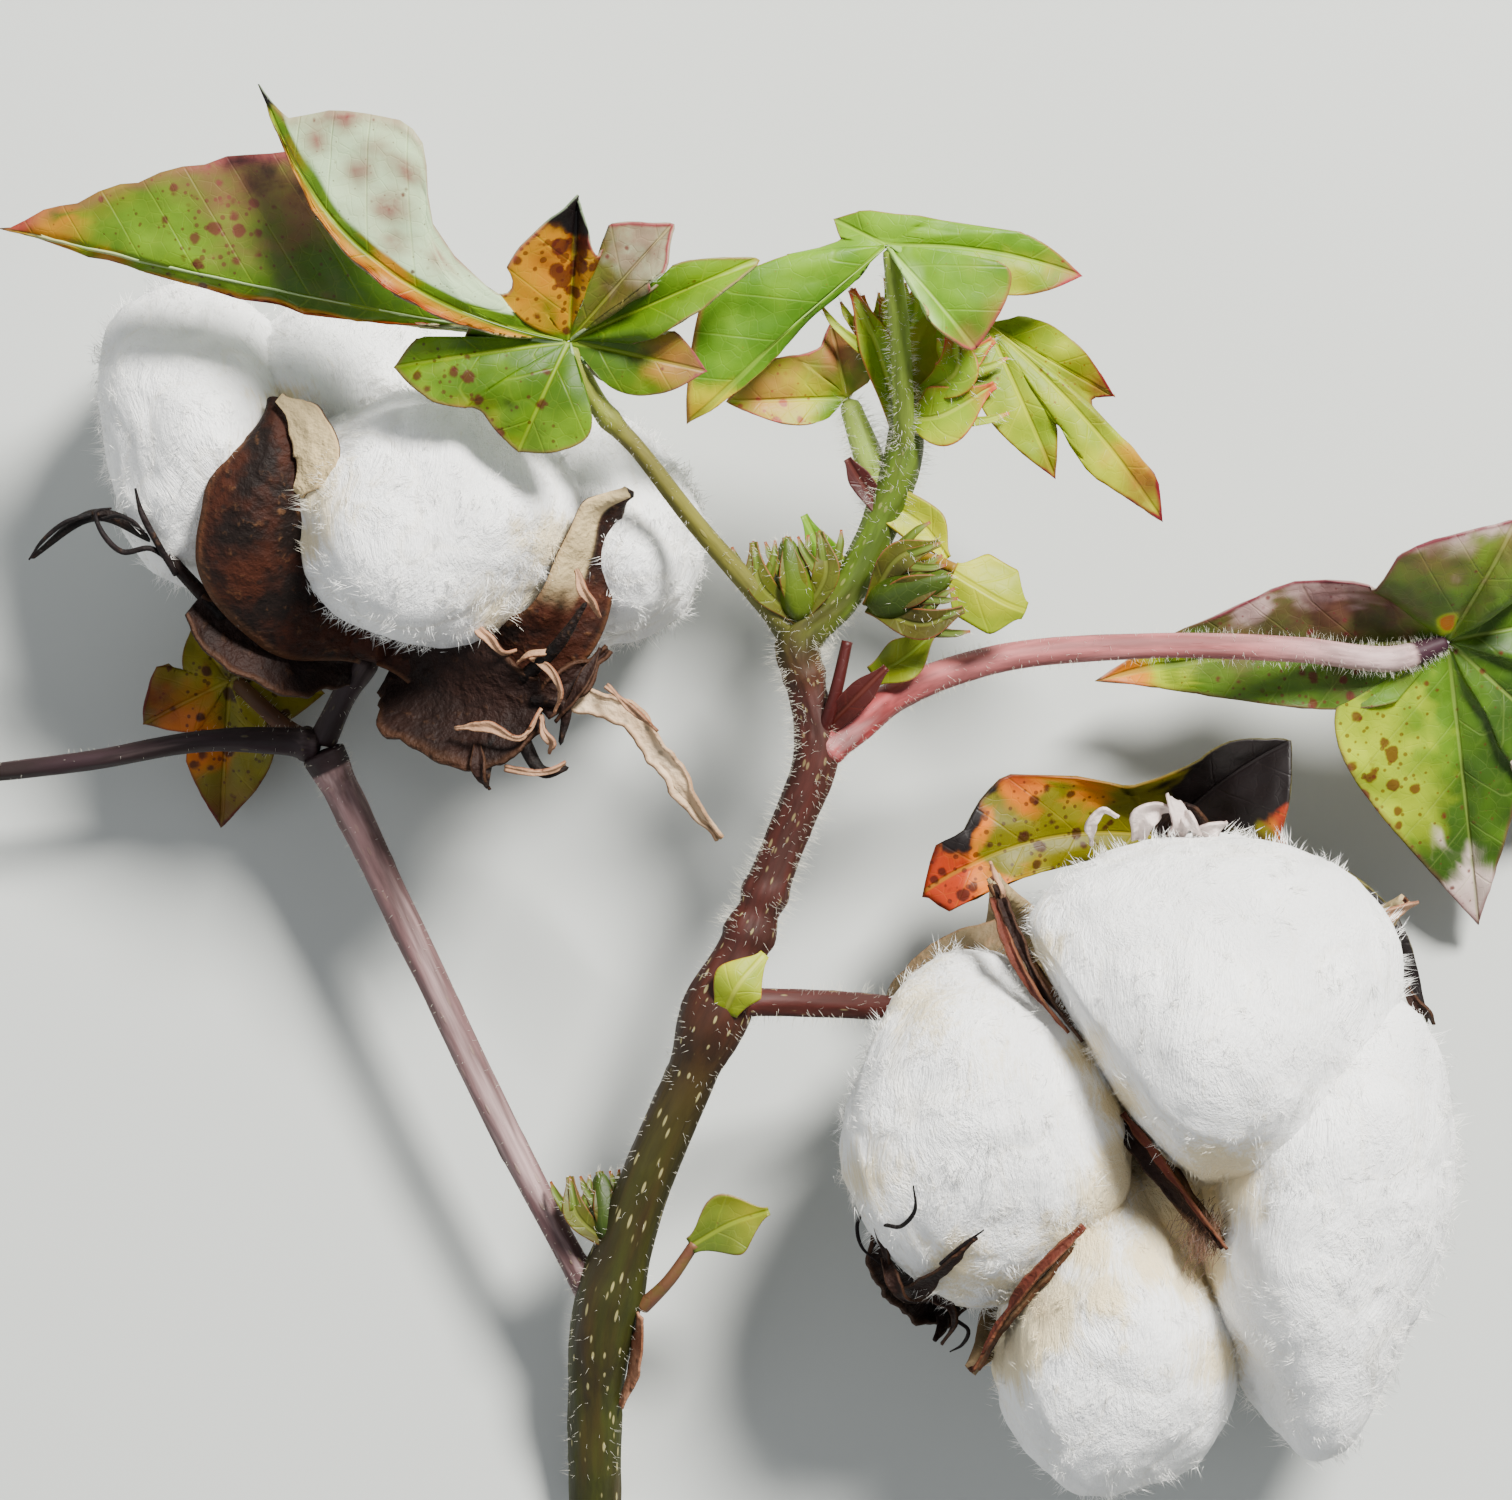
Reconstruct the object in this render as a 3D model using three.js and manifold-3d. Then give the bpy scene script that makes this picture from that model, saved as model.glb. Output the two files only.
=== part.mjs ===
// A cut shoot of a cotton plant, lying on the ground: the top of a main stem with two open bolls,
// its leaves, buds and dry bracts. Millimetres, +Z up, ground at Z = 0.
import * as THREE from "three";
import { mergeVertices } from "three/addons/utils/BufferGeometryUtils.js";
import Module from "manifold-3d";

const wasm = await Module();
wasm.setup();

// Driving dimensions. Places are [x, y, height]: x and y on a plan drawn as seen from EYE_HEIGHT
// above the ground, on which a length at PLAN_HEIGHT is a true length.
const EYE_HEIGHT = 800;
const PLAN_HEIGHT = 30;
const CENTRE = [5.4, -7.6]; // middle of the shoot's box on the ground, which becomes the origin
const GAP = 0.3; // clearance between two pieces that touch
const SLIVER = 0.004; // no edge of a cut piece is shorter than about this
const LEAF_THICK = 0.9;
const BRACT_THICK = 0.8;
const VALVE_THICK = 1.3;
const SEPTUM_THICK = 1;
const STEM_SIDES = 10;
const TWIG_SIDES = 8;
const STALK_SIDES = 6;
const SPAN_STEPS = 2; // rings from one point of a limb or blade to the next
const LOCK_SIDES = 14; // facets round a lock of lint
const LOCK_RINGS = 10;
const SINUS = 0.36; // share of a lobe's length at which it parts from the next one
const LEAF_FOOT = 0.16; // share of its lobe's length at which the first edge of a leaf starts
const LEAF_RINGS = 2; // rows of facets from the heart of a leaf to its edge
const LOBE_STATIONS = [0.34, 0.69]; // shares of the way from sinus to tip at which an edge has a corner
const LOBE_SHARE = 0.5; // share of the angle to the next midrib that half a lobe may fill
const WIDEST_ANGLE = 1.3; // most that half a lobe may fill, in radians

// Colours, each with its roughness.
const FINISHES = {
  stem: [0x5c5a33, 0.75],
  twig: [0x4a2c30, 0.7],
  lint: [0xf7f7f5, 0.95],
  burr: [0x3a2012, 0.8],
  bract: [0x4f3122, 0.85],
  straw: [0xc9b49c, 0.85],
  leaf: [0x7f9a2c, 0.6],
  stalk: [0xb98f86, 0.65],
  young_leaf: [0x93b94e, 0.6],
  yellow_leaf: [0xc8cf38, 0.6],
  dead_leaf: [0x8a6a2a, 0.8],
  bud: [0x6d7a3a, 0.75],
};

const UP = new THREE.Vector3(0, 0, 1);
const radians = THREE.MathUtils.degToRad;

// The point that shows at a place of the plan.
function seen([x, y, height]) {
  const shrink = (EYE_HEIGHT - height) / (EYE_HEIGHT - PLAN_HEIGHT);
  return new THREE.Vector3(x * shrink, y * shrink, height);
}

// The value at t, 0 to 1, of a list of numbers spread evenly along a piece; a lone number is constant.
function along(values, t) {
  const list = Array.isArray(values) ? values : [values, values];
  const place = t * (list.length - 1);
  const start = Math.min(Math.floor(place), list.length - 2);
  return THREE.MathUtils.lerp(list[start], list[start + 1], place - start);
}

// Moves every vertex of a closed geometry by a rule.
function warp(geometry, rule) {
  const places = geometry.attributes.position;
  const point = new THREE.Vector3();
  for (let i = 0; i < places.count; i++) {
    rule(point.fromBufferAttribute(places, i));
    places.setXYZ(i, point.x, point.y, point.z);
  }
  return geometry;
}

// A closed geometry as a solid for joining and cutting; vertices closer than the tolerance become one.
function solid(geometry, tolerance = 1e-4) {
  geometry.deleteAttribute("normal");
  geometry.deleteAttribute("uv");
  const merged = mergeVertices(geometry, tolerance);
  const vertProperties = merged.attributes.position.array;
  const triVerts = new Uint32Array(merged.index.array);
  return new wasm.Manifold(new wasm.Mesh({ numProp: 3, vertProperties, triVerts }));
}

// Side and face directions across a curve; turn rolls them about the curve, in degrees.
function acrossCurve(forward, turn) {
  const side = new THREE.Vector3().crossVectors(UP, forward).normalize();
  const face = new THREE.Vector3().crossVectors(forward, side);
  return [side, face].map((direction) => direction.applyAxisAngle(forward, radians(turn)));
}

// A tapering round limb through points, with a radius for each. squareCut makes its first end face -Y.
function limb({ points, radii, sides = TWIG_SIDES, squareCut = false }, grow) {
  const curve = new THREE.CatmullRomCurve3(points.map(seen));
  const rings = SPAN_STEPS * (points.length - 1);
  const isCut = (t) => squareCut && t * rings < 0.5;
  const rule = (p) => {
    const t = p.y + 0.5;
    const [side, face] = acrossCurve(isCut(t) ? new THREE.Vector3(0, 1, 0) : curve.getTangent(t), 0);
    const radius = along(radii, t) + grow;
    const { x, z } = p;
    p.copy(curve.getPoint(t)).addScaledVector(side, x * radius).addScaledVector(face, -z * radius);
  };
  return solid(warp(new THREE.CylinderGeometry(1, 1, 1, sides, rings), rule));
}

// A thin blade along a curved spine. wide is its full width at each spine point, turn its roll about
// the spine in degrees, where 0 faces up, and cup how far its edges rise, as a share of half its width.
function blade({ spine, wide, turn = 0, cup = 0, thick = BRACT_THICK }, grow) {
  const curve = new THREE.CatmullRomCurve3(spine.map(seen));
  const rule = (p) => {
    const t = p.z + 0.5;
    const [side, face] = acrossCurve(curve.getTangent(t), along(turn, t));
    const width = along(wide, t) + 2 * grow;
    const offset = p.x * width;
    const lift = p.y * (thick + 2 * grow) + cup * Math.abs(offset);
    p.copy(curve.getPoint(t)).addScaledVector(side, offset).addScaledVector(face, lift);
  };
  return solid(warp(new THREE.BoxGeometry(1, 1, 1, 2, 1, SPAN_STEPS * (spine.length - 1)), rule));
}

// Share of a lobe's half width at share s of its length. peak is where the lobe is widest; a profile
// gives the shares of one side in even steps instead.
function lobeShape({ peak = 0.4, profile = [] }, s, left) {
  if (profile[left]) return along(profile[left], s);
  return Math.sin(Math.PI * s ** (Math.log(0.5) / Math.log(peak)));
}

// One lobe of a leaf. Its midrib runs from the heart to the tip, with swing to the left and bow upwards
// halfway. wide holds its left and right half widths, and fold how far each half is turned up, in
// degrees. Returns the point at share s along the midrib and q across, from 1, left, to -1, right.
function lobeSurface(heart, { tip, wide, fold = [0, 0], swing = 0, bow = 2 }) {
  const run = seen(tip).sub(heart);
  const [side, face] = acrossCurve(run.clone().normalize(), 0);
  return (s, q) => {
    const bend = 4 * s * (1 - s);
    const left = q > 0 ? 0 : 1;
    const reach = q * wide[left];
    return heart
      .clone()
      .addScaledVector(run, s)
      .addScaledVector(side, swing * bend + reach * Math.cos(radians(fold[left])))
      .addScaledVector(UP, bow * bend)
      .addScaledVector(face, Math.abs(reach) * Math.sin(radians(fold[left])));
  };
}

// The angle on the ground, clockwise, from one lobe's midrib to another's at share s of both.
function angleBetween(heart, a, b, s) {
  const [from, to] = [a, b].map((surface) => {
    const arm = surface(s, 0).sub(heart);
    return Math.atan2(arm.y, arm.x);
  });
  return THREE.MathUtils.euclideanModulo(from - to, 2 * Math.PI);
}

// Rays from the heart of a leaf to the edge of its joined lobes, clockwise from above; each gives its
// point at share r. A lobe that is wider than its share of the angle to the next one is narrowed to it.
function leafRays(heart, lobes, sinus) {
  const surfaces = lobes.map((lobe) => lobeSurface(heart, lobe));
  const notch = (i) => lobes[i]?.sinus ?? sinus;
  const room = (i, s, hand) => {
    const other = surfaces[i - hand];
    if (!other || hand === 0) return Infinity;
    const pair = hand > 0 ? [other, surfaces[i]] : [surfaces[i], other];
    const angle = Math.min(LOBE_SHARE * angleBetween(heart, ...pair, s), WIDEST_ANGLE);
    return surfaces[i](s, 0).distanceTo(heart) * Math.tan(angle);
  };
  const ray = (i, s, hand) => {
    const left = hand > 0 ? 0 : 1;
    const { wide, fold = [0, 0] } = lobes[i];
    const reach = wide[left] * Math.cos(radians(fold[left]));
    const most = reach > 0 ? room(i, s, hand) / reach : Infinity;
    const half = hand * Math.min(lobeShape(lobes[i], s, left), most);
    return (r) => surfaces[i](s * r, half * r);
  };
  const between = (i) => (r) => ray(i, notch(i), -1)(r).lerp(ray(i + 1, notch(i), 1)(r), 0.5);
  const edge = (i, from, hand) => LOBE_STATIONS.map((share) => ray(i, from + (1 - from) * share, hand));
  const fan = (i) => [...edge(i, notch(i - 1), 1), ray(i, 1, 0), ...edge(i, notch(i), -1).toReversed()];
  const last = lobes.length - 1;
  const starts = [ray(0, LEAF_FOOT, 1), ray(0, sinus, 1)];
  const ends = [ray(last, notch(last), -1), ray(last, LEAF_FOOT, -1)];
  return [...starts, ...lobes.flatMap((_, i) => (i === 0 ? fan(0) : [between(i - 1), ...fan(i)])), ...ends];
}

// A thin sheet with the given half thickness round a fan of rays: a prism on each of its facets, joined.
function sheetSolid(centre, rays, half) {
  const shares = Array.from({ length: LEAF_RINGS }, (_, k) => (k + 1) / LEAF_RINGS);
  const points = [centre, ...rays.flatMap((ray) => shares.map((r) => ray(r)))];
  const at = (j, k) => (k === 0 ? 0 : j * LEAF_RINGS + k);
  const facets = [];
  for (let j = 0; j + 1 < rays.length; j++) {
    for (let k = 0; k < LEAF_RINGS; k++) {
      facets.push([at(j, k), at(j + 1, k + 1), at(j, k + 1)]);
      if (k > 0) facets.push([at(j, k), at(j + 1, k), at(j + 1, k + 1)]);
    }
  }
  const middle = new THREE.BufferGeometry().setFromPoints(points).setIndex(facets.flat());
  middle.computeVertexNormals();
  const normal = (i) => new THREE.Vector3().fromBufferAttribute(middle.attributes.normal, i);
  const moved = (i, way) => points[i].clone().addScaledVector(normal(i), way).toArray();
  const prism = (facet) => wasm.Manifold.hull(facet.flatMap((i) => [moved(i, half), moved(i, -half)]));
  return wasm.Manifold.union(facets.map(prism));
}

// Groups of lobes that are joined; a lobe that stands apart from the next one ends its group.
function joined(lobes) {
  const groups = [[]];
  for (const lobe of lobes) {
    groups.at(-1).push(lobe);
    if (lobe.apart) groups.push([]);
  }
  return groups;
}

// A lobed leaf without its stalk.
function leaf({ heart, lobes, sinus = SINUS }, grow) {
  const centre = seen(heart);
  const sheets = joined(lobes).map((group) => leafRays(centre, group, sinus));
  return wasm.Manifold.union(sheets.map((rays) => sheetSolid(centre, rays, LEAF_THICK / 2 + grow)));
}

// A soft unevenness over a unit ball, the same for the same seed.
function unevenness(p, seed) {
  const broad = Math.sin(2.9 * p.x + seed) * Math.sin(3.3 * p.y + 1.7 * seed);
  const small = Math.sin(4.1 * p.z + 2.3 * seed) * Math.sin(3.7 * p.x + 0.9 * seed);
  return 0.07 * broad + 0.05 * small;
}

// Draws in what stands out further than reach towards [x, y], a direction on the ground.
const FLAT_SHARE = 0.25;
function flatten(p, x, y, reach) {
  const over = (1 - FLAT_SHARE) * Math.max(x * p.x + y * p.y - reach, 0);
  p.x -= x * over;
  p.y -= y * over;
}

// A lock of lint: an uneven egg round a centre. radii are across, along and up, spin turns its long
// axis from +Y in degrees, taper narrows the end that points that way, and flat is [x, y, reach] of a
// side that is pressed flat.
function lock({ centre, radii, spin = 0, taper = 0, flat, seed }, grow) {
  const middle = seen(centre);
  const rule = (p) => {
    const swell = 1 + unevenness(p, seed);
    const narrow = 1 - taper * p.y;
    p.set(p.x * narrow * swell, p.y * swell, p.z * narrow * swell);
    p.set(p.x * (radii[0] + grow), p.y * (radii[1] + grow), p.z * (radii[2] + grow));
    p.applyAxisAngle(UP, radians(spin));
    if (flat) flatten(p, flat[0], flat[1], flat[2] + grow);
    p.add(middle);
  };
  return solid(warp(new THREE.SphereGeometry(1, LOCK_SIDES, LOCK_RINGS), rule));
}

// A pointed egg from base to tip, such as a bud or the foot of a boll.
function egg({ base, tip, radius }, grow) {
  const [start, end] = [seen(base), seen(tip)];
  const [side, face] = acrossCurve(end.clone().sub(start).normalize(), 0);
  const rule = (p) => {
    const t = (p.y + 1) / 2;
    const round = (radius + grow) * (1 - 0.45 * t);
    const { x, z } = p;
    p.copy(start).lerp(end, t).addScaledVector(side, x * round).addScaledVector(face, -z * round);
  };
  return solid(warp(new THREE.SphereGeometry(1, TWIG_SIDES, 6), rule));
}

const limbOf = (sizes) => (grow) => limb(sizes, grow);
const bladeOf = (sizes) => (grow) => blade(sizes, grow);
const leafOf = (sizes) => (grow) => leaf(sizes, grow);
const lockOf = (sizes) => (grow) => lock(sizes, grow);
const eggOf = (sizes) => (grow) => egg(sizes, grow);

// Several makers joined as one piece.
const group = (...parts) => (grow) => parts.map((make) => make(grow)).reduce((a, b) => a.add(b));

const shoot = new THREE.Group();
const makers = {};

// The largest body of a solid, as a geometry.
function largest(body) {
  const whole = body.decompose().reduce((a, b) => (b.volume() > a.volume() ? b : a));
  const { vertProperties, triVerts } = whole.getMesh();
  const geometry = new THREE.BufferGeometry();
  geometry.setAttribute("position", new THREE.BufferAttribute(vertProperties, 3));
  return geometry.setIndex(new THREE.BufferAttribute(triVerts, 1));
}

// Adds a piece: what its maker gives, cut GAP clear of the named pieces that it meets, without slivers.
function piece(name, finish, make, clearOf = []) {
  makers[name] = make;
  const cut = clearOf.reduce((body, other) => body.subtract(makers[other](GAP)), make(0));
  const geometry = largest(solid(largest(cut), SLIVER));
  geometry.computeVertexNormals();
  const [color, roughness] = FINISHES[finish];
  const mesh = new THREE.Mesh(geometry, new THREE.MeshStandardMaterial({ color, roughness, metalness: 0 }));
  mesh.name = name;
  shoot.add(mesh);
}

// The main stem, from its cut foot on the ground to its growing tip, swollen at each node.
const MAIN_STEM = {
  points: [
    [-18.5, -86.5, 3.2],
    [-18.5, -75, 8.5],
    [-17.5, -65.5, 13.5],
    [-13, -50.5, 21],
    [-7.5, -37.5, 26.5],
    [-4.5, -30, 29.5],
    [-0.5, -20.5, 31],
    [3.5, -10, 32],
    [7, 0, 33],
    [6, 7, 33.5],
    [5, 12.5, 34],
    [10, 18, 35],
    [14.5, 26.5, 36.5],
    [17, 34.5, 38],
    [17.5, 41, 38.5],
  ],
  radii: [3.0, 3.2, 3.8, 3.1, 2.9, 4.0, 2.6, 2.3, 2.6, 2.2, 2.7, 2.2, 2.1, 2.2, 1.3],
  sides: STEM_SIDES,
  squareCut: true,
};
piece("main_stem", "stem", limbOf(MAIN_STEM));

// The lower fruiting branch, which turns aside where its boll stands.
const LEFT_BRANCH = {
  points: [
    [-17.5, -65, 14],
    [-22.5, -56, 15.5],
    [-31.5, -38.5, 16],
    [-41, -18.5, 17],
    [-47.5, -5, 18],
    [-50, 0, 18.5],
  ],
  radii: [2.0, 1.6, 1.8, 1.9, 2.1, 2.6],
};
const LEFT_BRANCH_OUTER = {
  points: [
    [-50, 0.5, 18.5],
    [-54.5, 1, 18.3],
    [-64, 1, 17.5],
    [-75.5, -1, 16],
    [-87, -2.5, 14],
    [-93.5, -3, 12.5],
  ],
  radii: [2.0, 1.6, 1.25, 1.15, 1.1, 0.9],
};
const LEFT_PEDUNCLE = {
  points: [
    [-50, 0.5, 18.5],
    [-47.5, 6, 20.5],
    [-44.5, 11, 22.5],
  ],
  radii: [1.6, 1.4, 1.9],
};
const OUTER_BUD = { base: [-92.5, -3, 12.6], tip: [-97.5, -2, 13], radius: 1.9 };
piece("left_branch", "twig", limbOf(LEFT_BRANCH), ["main_stem"]);
piece("left_branch_outer", "twig", limbOf(LEFT_BRANCH_OUTER), ["left_branch"]);
piece("left_peduncle", "twig", limbOf(LEFT_PEDUNCLE), ["left_branch", "left_branch_outer"]);
piece("left_branch_bud", "bud", eggOf(OUTER_BUD), ["left_branch_outer"]);

// The upper fruiting branch, which runs down behind the right boll.
const RIGHT_BRANCH = {
  points: [
    [-4, -29, 30],
    [0.5, -29, 30],
    [13, -29.5, 23],
    [23.5, -31.5, 11.5],
    [32, -34.5, 5.5],
  ],
  radii: [2.0, 1.6, 1.5, 1.5, 2.1],
};
const RIGHT_PEDUNCLE = {
  points: [
    [32, -34.5, 5.5],
    [37.5, -38.5, 4.8],
    [42, -42, 5.5],
  ],
  radii: [1.7, 1.6, 2.2],
};
piece("right_branch", "twig", limbOf(RIGHT_BRANCH), ["main_stem"]);
piece("right_peduncle", "twig", limbOf(RIGHT_PEDUNCLE), ["right_branch"]);

// A burr, the dry walls of a boll: valves that spread from its foot between the locks, with septa that
// stand in the gaps and curled rims.
function burrOf({ foot, valves, septa, rims = [] }) {
  return group(
    eggOf(foot),
    ...valves.map((sizes) => bladeOf({ thick: VALVE_THICK, ...sizes })),
    ...septa.map((sizes) => bladeOf({ thick: SEPTUM_THICK, turn: 90, ...sizes })),
    ...rims.map((sizes) => bladeOf({ thick: SEPTUM_THICK, ...sizes })),
  );
}

// Stands up, leaning to the viewer: two valves in front, two beneath.
const LEFT_BURR = {
  foot: { base: [-45.5, 11, 22.5], tip: [-43, 17, 25], radius: 5.5 },
  valves: [
    {
      spine: [
        [-44, 12.5, 25],
        [-52, 16.5, 34],
        [-57, 22, 40],
        [-58, 28, 42],
        [-55.5, 35.5, 42],
        [-55.5, 40.5, 40],
      ],
      wide: [6, 13, 14, 11, 6, 0.8],
      cup: -0.3,
    },
    {
      spine: [
        [-42.5, 12.5, 25],
        [-31.5, 9.5, 31],
        [-23, 13.5, 36],
        [-19.5, 22, 38],
        [-18, 27.5, 40],
        [-14.5, 29.5, 42],
      ],
      wide: [6, 11, 9, 8, 6, 0.8],
      turn: [0, 55],
      cup: 0.2,
    },
    {
      spine: [
        [-45, 13, 20],
        [-51, 22, 7],
        [-54, 32, 2.6],
        [-54.5, 40, 4],
      ],
      wide: [5, 11, 10, 1],
      cup: 0.2,
    },
    {
      spine: [
        [-43, 13, 20],
        [-34.5, 22, 7],
        [-29.5, 31, 2.6],
        [-28.5, 39, 4],
      ],
      wide: [5, 11, 10, 1],
      cup: 0.2,
    },
  ],
  septa: [
    {
      spine: [
        [-55, 40, 41],
        [-50, 37.5, 39],
        [-49, 32, 36],
        [-50.5, 26.5, 33],
      ],
      wide: [0.8, 4, 6, 5],
      turn: 50,
    },
  ],
};

// Lies on its back, open to the viewer: its valves rest on the ground and rise between the locks.
const RIGHT_BURR = {
  foot: { base: [42, -41.5, 5.5], tip: [45.5, -45, 17], radius: 5 },
  valves: [
    {
      spine: [
        [43, -42.5, 6],
        [37.5, -33.5, 1.6],
        [31.5, -24, 8],
        [27.5, -15, 27],
      ],
      wide: [8, 16, 12, 0.8],
      cup: 0.3,
    },
    {
      spine: [
        [43.5, -42, 6],
        [53.5, -33.5, 1.6],
        [64.5, -25.5, 8],
        [74.5, -17.5, 27],
      ],
      wide: [8, 17, 12, 0.8],
      cup: 0.3,
    },
    {
      spine: [
        [43, -43.5, 6],
        [38.5, -52, 1.6],
        [31.5, -61.5, 9],
        [25, -71, 30],
      ],
      wide: [8, 16, 12, 0.8],
      cup: 0.3,
    },
    {
      spine: [
        [44.5, -43.5, 6],
        [51.5, -53, 1.6],
        [59, -62, 7],
        [65.5, -70, 18],
      ],
      wide: [8, 17, 12, 0.8],
      cup: 0.3,
    },
  ],
  septa: [
    {
      spine: [
        [43, -42.5, 14],
        [36.5, -32, 33],
        [31.5, -24, 35],
        [27, -15.5, 31],
      ],
      wide: [10, 9, 7, 1],
    },
    {
      spine: [
        [40.5, -39, 16],
        [43.5, -43.5, 31],
        [48, -50, 38.5],
        [53.6, -56.9, 40.5],
      ],
      wide: [6, 6, 3.4, 1.4],
      turn: [90, 70, 40, 20],
    },
    {
      spine: [
        [42.5, -44.5, 14],
        [37, -56, 37],
        [31, -63, 36],
        [25.5, -71, 31],
      ],
      wide: [10, 8, 7, 1],
    },
  ],
  rims: [
    {
      spine: [
        [29, -21.5, 25],
        [22.5, -23, 24],
        [17, -27, 22],
        [15, -30, 19],
      ],
      wide: [5, 4, 3, 1.2],
      turn: 35,
    },
  ],
};
piece("left_burr", "burr", burrOf(LEFT_BURR), ["left_peduncle"]);
piece("right_burr", "burr", burrOf(RIGHT_BURR), ["right_peduncle", "right_branch"]);

// The locks of lint that have burst out of each boll.
const LOCKS = {
  left: [
    { centre: [-63, 36, 20.3], radii: [13, 18, 20], spin: 12, taper: 0.05, seed: 1.0 },
    { centre: [-37.5, 26.5, 34], radii: [15.5, 14.5, 16], spin: -10, seed: 2.2 },
    { centre: [-17, 24.5, 19.5], radii: [11, 13, 19], spin: -12, taper: 0.05, seed: 3.1 },
    { centre: [-43, 41, 18.5], radii: [17, 12.5, 18], seed: 4.3 },
  ],
  right: [
    { centre: [51.6, -30.5, 33], radii: [21.5, 21.5, 24], flat: [-0.83, -0.56, 11], seed: 1.6 },
    { centre: [65.5, -54.5, 30], radii: [13.8, 25.3, 22], spin: 173, taper: 0.2, seed: 2.7 },
    { centre: [41, -66.2, 27], radii: [13.3, 19.3, 18], spin: 177, taper: -0.08, seed: 3.9 },
    { centre: [26, -43.5, 30], radii: [16, 19, 19], seed: 5.2 },
  ],
};
for (const [hand, locks] of Object.entries(LOCKS)) {
  const names = locks.map((_, i) => `${hand}_lock_${i + 1}`);
  locks.forEach((sizes, i) => {
    piece(names[i], "lint", lockOf(sizes), [`${hand}_burr`, `${hand}_branch`, ...names.slice(0, i)]);
  });
}

// Dry bracts round the foot of each boll: blades with thin curled teeth.
const TOOTH_RADII = [0.9, 0.8, 0.5];
function bractOf({ blades, teeth = [] }) {
  const toothOf = (points) => limbOf({ points, radii: TOOTH_RADII, sides: STALK_SIDES });
  return group(...blades.map(bladeOf), ...teeth.map(toothOf));
}
const BRACTS = {
  left_bract_inner: {
    blades: [
      {
        spine: [
          [-46.5, 9.5, 23],
          [-53.5, 11, 29],
          [-61, 14, 32],
          [-64.5, 17, 33],
        ],
        wide: [5, 9, 8, 2.4],
        cup: 0.3,
      },
    ],
    teeth: [
      [
        [-61, 15, 32.5],
        [-68, 23, 33],
        [-71, 29.5, 32],
      ],
      [
        [-69, 24.5, 33],
        [-76, 27, 32],
        [-83.5, 22, 30],
      ],
    ],
  },
  left_bract_outer: {
    blades: [
      {
        spine: [
          [-42, 9, 24],
          [-37.5, 7, 30],
          [-30.5, 5, 34],
          [-24.5, 5, 36],
        ],
        wide: [5, 14, 16, 7],
        cup: 0.3,
      },
    ],
    teeth: [
      [
        [-30, 2, 35],
        [-31, -1.5, 36],
        [-31, -4.5, 36],
      ],
      [
        [-27, 1.5, 36],
        [-24.5, -2.5, 37],
        [-21.5, -2, 37],
      ],
      [
        [-26, 6, 36],
        [-22, 5, 37],
        [-22.5, 0.5, 37],
      ],
      [
        [-27, 8, 36],
        [-22.5, 12.5, 41],
        [-19.5, 17, 43],
      ],
    ],
  },
  left_bract_thorn: {
    blades: [
      {
        spine: [
          [-25, 5, 36],
          [-21, 8, 35.5],
          [-17, 11.5, 34],
        ],
        wide: [3, 3, 0.9],
        cup: 0.3,
      },
    ],
  },
  left_bract_strand: {
    blades: [
      {
        spine: [
          [-24, 6.5, 34.5],
          [-14.5, 4, 34],
          [-9.5, -3, 33],
          [-4, -10, 31],
        ],
        wide: [2, 2.6, 2.8, 1.2],
        turn: [0, 40],
      },
    ],
  },
  right_bract_low: {
    blades: [
      {
        spine: [
          [38.5, -47, 4],
          [29, -54.5, 3.5],
          [21, -63, 16],
          [15.5, -59.5, 30],
          [13.5, -54, 35],
        ],
        wide: [4, 9, 6, 4, 1.5],
        cup: 0.3,
      },
    ],
    teeth: [
      [
        [16.5, -59.5, 29],
        [18, -55, 35],
        [17.5, -51, 37],
      ],
      [
        [18.5, -61.5, 24],
        [21.5, -59, 32],
        [25, -56, 36],
      ],
      [
        [20.5, -62.5, 18],
        [21.5, -66, 22],
        [20.5, -68, 25],
      ],
    ],
  },
  right_bract_top: {
    blades: [
      {
        spine: [
          [45, -38, 4],
          [50, -24, 3.5],
          [49, -14, 12],
          [48, -6, 26],
        ],
        wide: [4, 10, 8, 6],
        cup: 0.3,
      },
    ],
  },
};
const AROUND_BRACTS = {
  left_bract_inner: ["left_burr", "left_peduncle", "left_lock_1"],
  left_bract_outer: ["left_burr", "left_peduncle", "left_lock_2", "left_lock_3"],
  left_bract_thorn: ["left_burr", "left_bract_outer", "left_lock_3"],
  left_bract_strand: ["left_burr", "left_bract_outer", "left_bract_thorn", "left_lock_3"],
  right_bract_low: ["right_burr", "right_peduncle", "right_lock_3", "right_lock_4"],
  right_bract_top: ["right_burr", "right_peduncle", "right_lock_1"],
};
for (const [name, sizes] of Object.entries(BRACTS)) {
  piece(name, name.endsWith("strand") ? "straw" : "bract", bractOf(sizes), AROUND_BRACTS[name]);
}

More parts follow.
